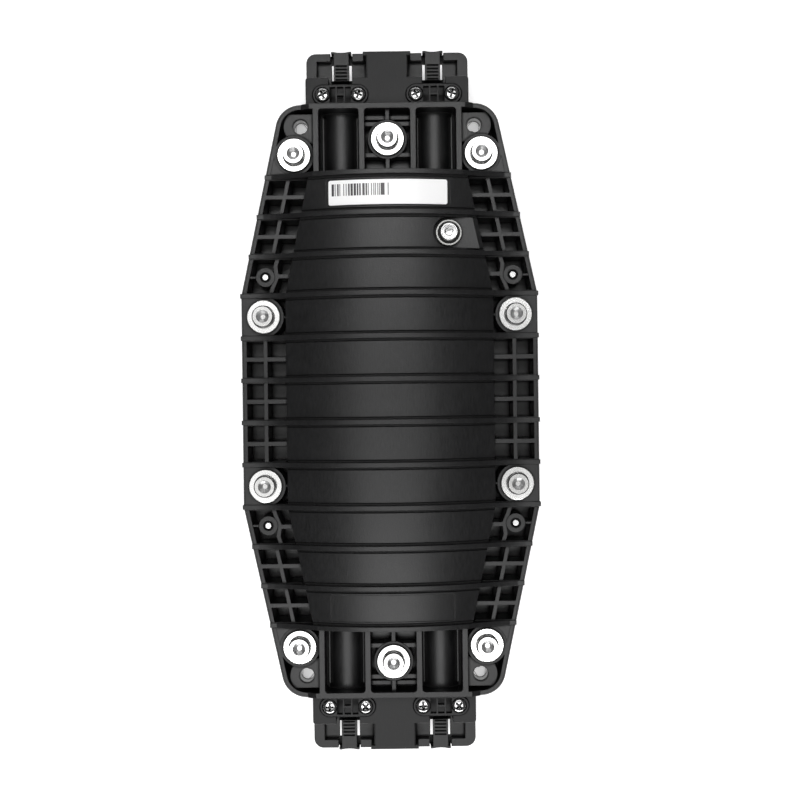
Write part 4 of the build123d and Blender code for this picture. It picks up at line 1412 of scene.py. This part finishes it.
@dataclass
class Valve(Assembly):
    """Pressure valve on the upper half.

    Attributes:
        foot_edge: Chamfer at the foot of the cap.
        skirt_h: Height of the dark skirt round the crown.
        skirt_w: How far the skirt stands out from the crown.
        skirt_edge: Rounded edge on top of the skirt.
        neck: Fillet between the skirt and the crown.
        crown_edge: Rounded edge of the crown, and the dish inside it.
        hex_r: Radius of the hexagon socket across its corners.
        hex_lead: Lead-in of that socket.
        hex_start: Depth at which the hexagon starts.
        hex_deep: Depth of the hexagon.
        hex_top: Depth from which faces count as the socket.
        drill: Radii and depths of the drill's mark below it.
        stem_r: Radius of the bore that takes the stem.
        stem_deep: Depth of that bore.
        wire_r: Radius of the spring's wire.
        wire_sides: Number of sides of the wire.
        turns: Number of turns of the spring.
        turn_steps: Number of steps in a turn.
        pin_travel: How far the pin can be pressed.
        steps: Number of steps round the cap.
    """

    foot_edge: float = 0.15
    skirt_h: float = 1.6
    skirt_w: float = 0.3
    skirt_edge: Profile = ((0.0, 0.4), (0.35, 0.0))
    neck: Profile = ((-0.12, 0.0), (0.0, -0.15))
    crown_edge: Profile = (
        (0.0, 0.7),
        (0.15, 0.25),
        (0.6, 0.0),
        (0.65, 0.0),
        (1.05, 0.0),
        (1.35, 0.25),
    )
    hex_r: float = 2.31
    hex_lead: Profile = ((-0.35, 0.3), (-0.15, 0.35))
    hex_start: float = 0.6
    hex_deep: float = 1.6
    hex_top: float = 0.4
    drill: Profile = ((0.9, 0.15), (0.0, 0.2))
    stem_r: float = 3.45
    stem_deep: float = 2.0
    wire_r: float = 0.2
    wire_sides: int = 8
    turns: int = 3
    turn_steps: int = 36
    pin_travel: float = 1.5
    steps: int = 72

    def cap(self, spot: Spot) -> BMesh:
        """Turned cap with a dished top and a hexagon socket, its foot at the origin.

        Args:
            spot: Box of the plain cap.

        Returns:
            The new mesh.
        """
        outer, top = spot.radius, spot.height
        crown = outer - self.skirt_w
        floor = top - self.hex_deep
        rows = [(0.0, self.stem_deep, ROUND), (self.stem_r, self.stem_deep, ROUND)]
        rows += [(self.stem_r, 0.0, ROUND), (outer - self.foot_edge, 0.0, ROUND)]
        rows.append((outer, self.foot_edge, ROUND))
        rows += edge_rows(outer, self.skirt_h, self.skirt_edge)
        rows += edge_rows(crown, self.skirt_h, self.neck)
        rows += edge_rows(crown, top, self.crown_edge)
        rows += edge_rows(self.hex_r, top, self.hex_lead)
        rows += [(self.hex_r, top - self.hex_start, HEXAGON), (self.hex_r, floor, HEXAGON)]
        rows += [(radius, floor - deep, ROUND) for radius, deep in self.drill]
        return self.lathe(rows, self.steps)

    def coil(self, spot: Spot) -> BMesh:
        """Coil of round wire.

        Args:
            spot: Box of the plain spring, which it fills.

        Returns:
            The new mesh, in place.
        """
        mesh = bmesh.new()
        radius = spot.radius - self.wire_r
        rise = spot.height - 2 * self.wire_r
        foot = Vector(spot.foot) + Vector((0, 0, self.wire_r))
        sides = [2 * math.pi * corner / self.wire_sides for corner in range(self.wire_sides)]
        count = self.turn_steps * self.turns
        rings = []
        for step in range(count + 1):
            turn = 2 * math.pi * step / self.turn_steps
            out = Vector((math.cos(turn), math.sin(turn), 0))
            wire = foot + Vector((0, 0, rise * step / count)) + out * radius
            offsets = [out * math.cos(side) + Vector((0, 0, math.sin(side))) for side in sides]
            rings.append([mesh.verts.new((wire + offset * self.wire_r) * MM) for offset in offsets])
        skin(mesh, rings, capped=True)
        return mesh

    def build(self) -> None:
        """Dress the valve, and put a turned cap and a coil over plain ones."""
        self.wardrobe.dress_nodes(Finish.NICKEL, "valve_body", "valve_nut")
        self.wardrobe.dress_nodes(Finish.RUBBER, "valve_seal")
        self.wardrobe.dress_nodes(Finish.BRASS, "valve_pin")
        room = solids_of("valve_spring")[0]
        spring = self.piece(
            "coil_spring", self.coil(room), Finish.STEEL, 60.0, replaces="valve_spring"
        )
        anchor = tuple(Vector(room.foot) * MM)
        keep = (room.height - self.pin_travel) / room.height
        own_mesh(spring)
        spot = solids_of("valve_cap")[0]
        mesh = self.copies(self.cap(spot), [spot.foot])
        cap = self.piece(
            "turned_valve_cap", mesh, Finish.CAP, 20.0, body="valve_cap", replaces="valve_cap"
        )
        reach = self.hex_r + self.margin
        self.dull_inside(cap, [spot.middle], reach, spot.high[2] - self.hex_top)
        crown_r = spot.radius - self.skirt_w
        skirt_top = spot.low[2] + self.skirt_h + self.margin

        def on_skirt(place: Vector, _: Vector) -> bool:
            """Whether a face belongs to the dark skirt round the crown."""
            return off_axis(place, spot.middle) > crown_r and place.z < skirt_top

        self.paint(cap, Finish.RUBBER, on_skirt)


@dataclass
class Interior(Assembly):
    """Trays and what holds them."""

    trays: tuple[str, ...] = (
        "tray_frame",
        "strength_clamps",
        "splice_tray_lower",
        "splice_tray_upper",
        "splice_holders",
    )

    def build(self) -> None:
        """Dress the inner pieces."""
        self.wardrobe.dress_nodes(Finish.TRAY, *self.trays)
        self.wardrobe.dress_nodes(Finish.LID, "tray_lid")
        self.wardrobe.dress_nodes(Finish.STRAP, "tray_strap")
        self.wardrobe.dress_nodes(Finish.STEEL, "frame_screws", "clamp_screws")


@dataclass
class Label(Assembly):
    """Plain label in the recess of the upper half."""

    def build(self) -> None:
        """Dress the label."""
        self.wardrobe.dress_nodes(Finish.LABEL, "label")


@dataclass(frozen=True)
class SoftBox:
    """Rectangular lamp.

    Attributes:
        name: Name of the lamp.
        spot: Where it hangs, in metres.
        size: Its sides in metres.
        power: Its power in watts.
        aim: What it looks at, or nothing for straight down.
        mirrored: Whether glossy surfaces show it.
    """

    name: str
    spot: Point
    size: Pair
    power: float
    aim: Point | None = None
    mirrored: bool = True


@dataclass
class Studio:
    """White table, soft light from above, and a camera that looks straight down.

    Lengths are in metres, apart from those of the lens and the sensor.

    Attributes:
        height: Height of the camera above the plane where the halves meet.
        plane: Height of that plane.
        lens: Focal length in millimetres.
        sensor: Width of the sensor in millimetres.
        clip_end: How far the camera sees.
        centre: Where the camera stands, seen from above.
        turn: Angle in degrees by which the closure looks turned in the picture.
        table_half: Half the side of the table.
        table_drop: How far the table lies below the closure.
        paper: Darkest and lightest tone of the table.
        glow: Light that the camera and glossy surfaces see the table give off.
        ambient: Strength of the world as a light.
        boxes: The lamps. The ones over the ends hang lower, so that the others don't hide them.
    """

    height: float = 0.65
    plane: float = 0.0365
    lens: float = 46.8
    sensor: float = 36.0
    clip_end: float = 20.0
    centre: Pair = (0.0057, 0.0)
    turn: float = 0.7
    table_half: float = 3.0
    table_drop: float = 0.0002
    paper: tuple[Colour, Colour] = (grey(0.90), grey(0.93))
    glow: float = 0.5
    ambient: float = 0.05
    boxes: tuple[SoftBox, ...] = (
        SoftBox("core", (0.0, 0.0, 1.6), (0.3, 1.2), 0.35),
        SoftBox("left", (-0.36, 0.0, 1.6), (0.36, 1.6), 2.1),
        SoftBox("right", (0.34, 0.0, 1.6), (0.3, 1.6), 1.25),
        SoftBox("far_end", (0.0, 0.5, 1.55), (0.8, 0.35), 4.4),
        SoftBox("near_end", (0.0, -0.51, 1.55), (0.8, 0.38), 4.2),
        SoftBox("front", (0.0, -1.5, 0.9), (1.4, 0.3), 10.0, aim=(0.0, 0.0, 0.0)),
        SoftBox("back", (0.0, 1.5, 0.9), (1.4, 0.3), 2.0, aim=(0.0, 0.0, 0.0)),
        SoftBox("fill", (0.0, 0.0, 1.9), (2.6, 2.6), 22.0, mirrored=False),
    )

    def table(self) -> None:
        """White floor that clips to white around the object and keeps its shadow."""
        mesh = bmesh.new()
        bmesh.ops.create_grid(mesh, x_segments=1, y_segments=1, size=self.table_half)
        floor = add_object("table", mesh)
        floor.location.z = -self.table_drop
        g = SurfaceGraph("table_white")
        g.set(
            Base_Color=g.mix(g.noise(300.0, 3.0), *self.paper),
            Roughness=0.9,
            Specular_IOR_Level=0.1,
        )
        plain = Value(g, g.shader.outputs["BSDF"])
        glow = g.add("ShaderNodeEmission", None, {"Color": grey(1.0), "Strength": self.glow})
        glowing = g.add("ShaderNodeAddShader", None, {0: plain, 1: glow})
        seen = g.ray("Is Camera Ray") + g.ray("Is Glossy Ray")
        pick = g.add("ShaderNodeMixShader", None, {0: seen, 1: plain, 2: glowing})
        g.plug(g.output.inputs["Surface"], pick)
        floor.data.materials.append(g.material)

    def hang(self, box: SoftBox) -> None:
        """Hang one lamp.

        Args:
            box: The lamp.
        """
        light = bpy.data.lights.new(box.name, "AREA")
        light.shape = "RECTANGLE"
        light.size, light.size_y = box.size
        light.energy = box.power
        lamp = bpy.data.objects.new(box.name, light)
        lamp.location = box.spot
        gaze = Vector(box.aim or (*box.spot[:2], 0.0)) - Vector(box.spot)
        lamp.rotation_euler = gaze.to_track_quat("-Z", "Y").to_euler()
        lamp.visible_glossy = box.mirrored
        bpy.context.scene.collection.objects.link(lamp)

    def sky(self) -> None:
        """World that is white where the camera sees it, and dim as a light."""
        world = bpy.data.worlds.new("studio")
        g = SkyGraph(world)
        seen = g.ray("Is Camera Ray").math("MAXIMUM", g.ray("Is Transmission Ray"))
        g.set(Color=grey(1.0), Strength=self.ambient + seen * (1.0 - self.ambient))
        bpy.context.scene.world = world

    def camera(self) -> bpy.types.Object:
        """Camera over the closure, turned as in the photograph.

        Returns:
            The new camera.
        """
        camera = bpy.data.objects.new("camera", bpy.data.cameras.new("camera"))
        camera.data.lens = self.lens
        camera.data.sensor_width = self.sensor
        camera.data.clip_end = self.clip_end
        camera.location = (*self.centre, self.plane + self.height)
        camera.rotation_euler = (0.0, 0.0, math.radians(-self.turn))
        bpy.context.scene.collection.objects.link(camera)
        return camera

    def build(self) -> None:
        """Set the table, the lamps, the world and the camera."""
        self.table()
        for box in self.boxes:
            self.hang(box)
        self.sky()
        bpy.context.scene.camera = self.camera()
        bpy.context.scene.view_settings.view_transform = "Standard"
        log.info("studio ready")


def main() -> None:
    """Build the sub-assemblies in order."""
    wardrobe = Wardrobe()
    for part in (Housing, Fasteners, Brackets, Valve, Interior, Label):
        part(wardrobe).build()
        log.info("%s built", part.__name__)
    Studio().build()


if __name__ == "__main__":
    logging.basicConfig(level=logging.INFO, format="%(name)s: %(message)s")
    main()
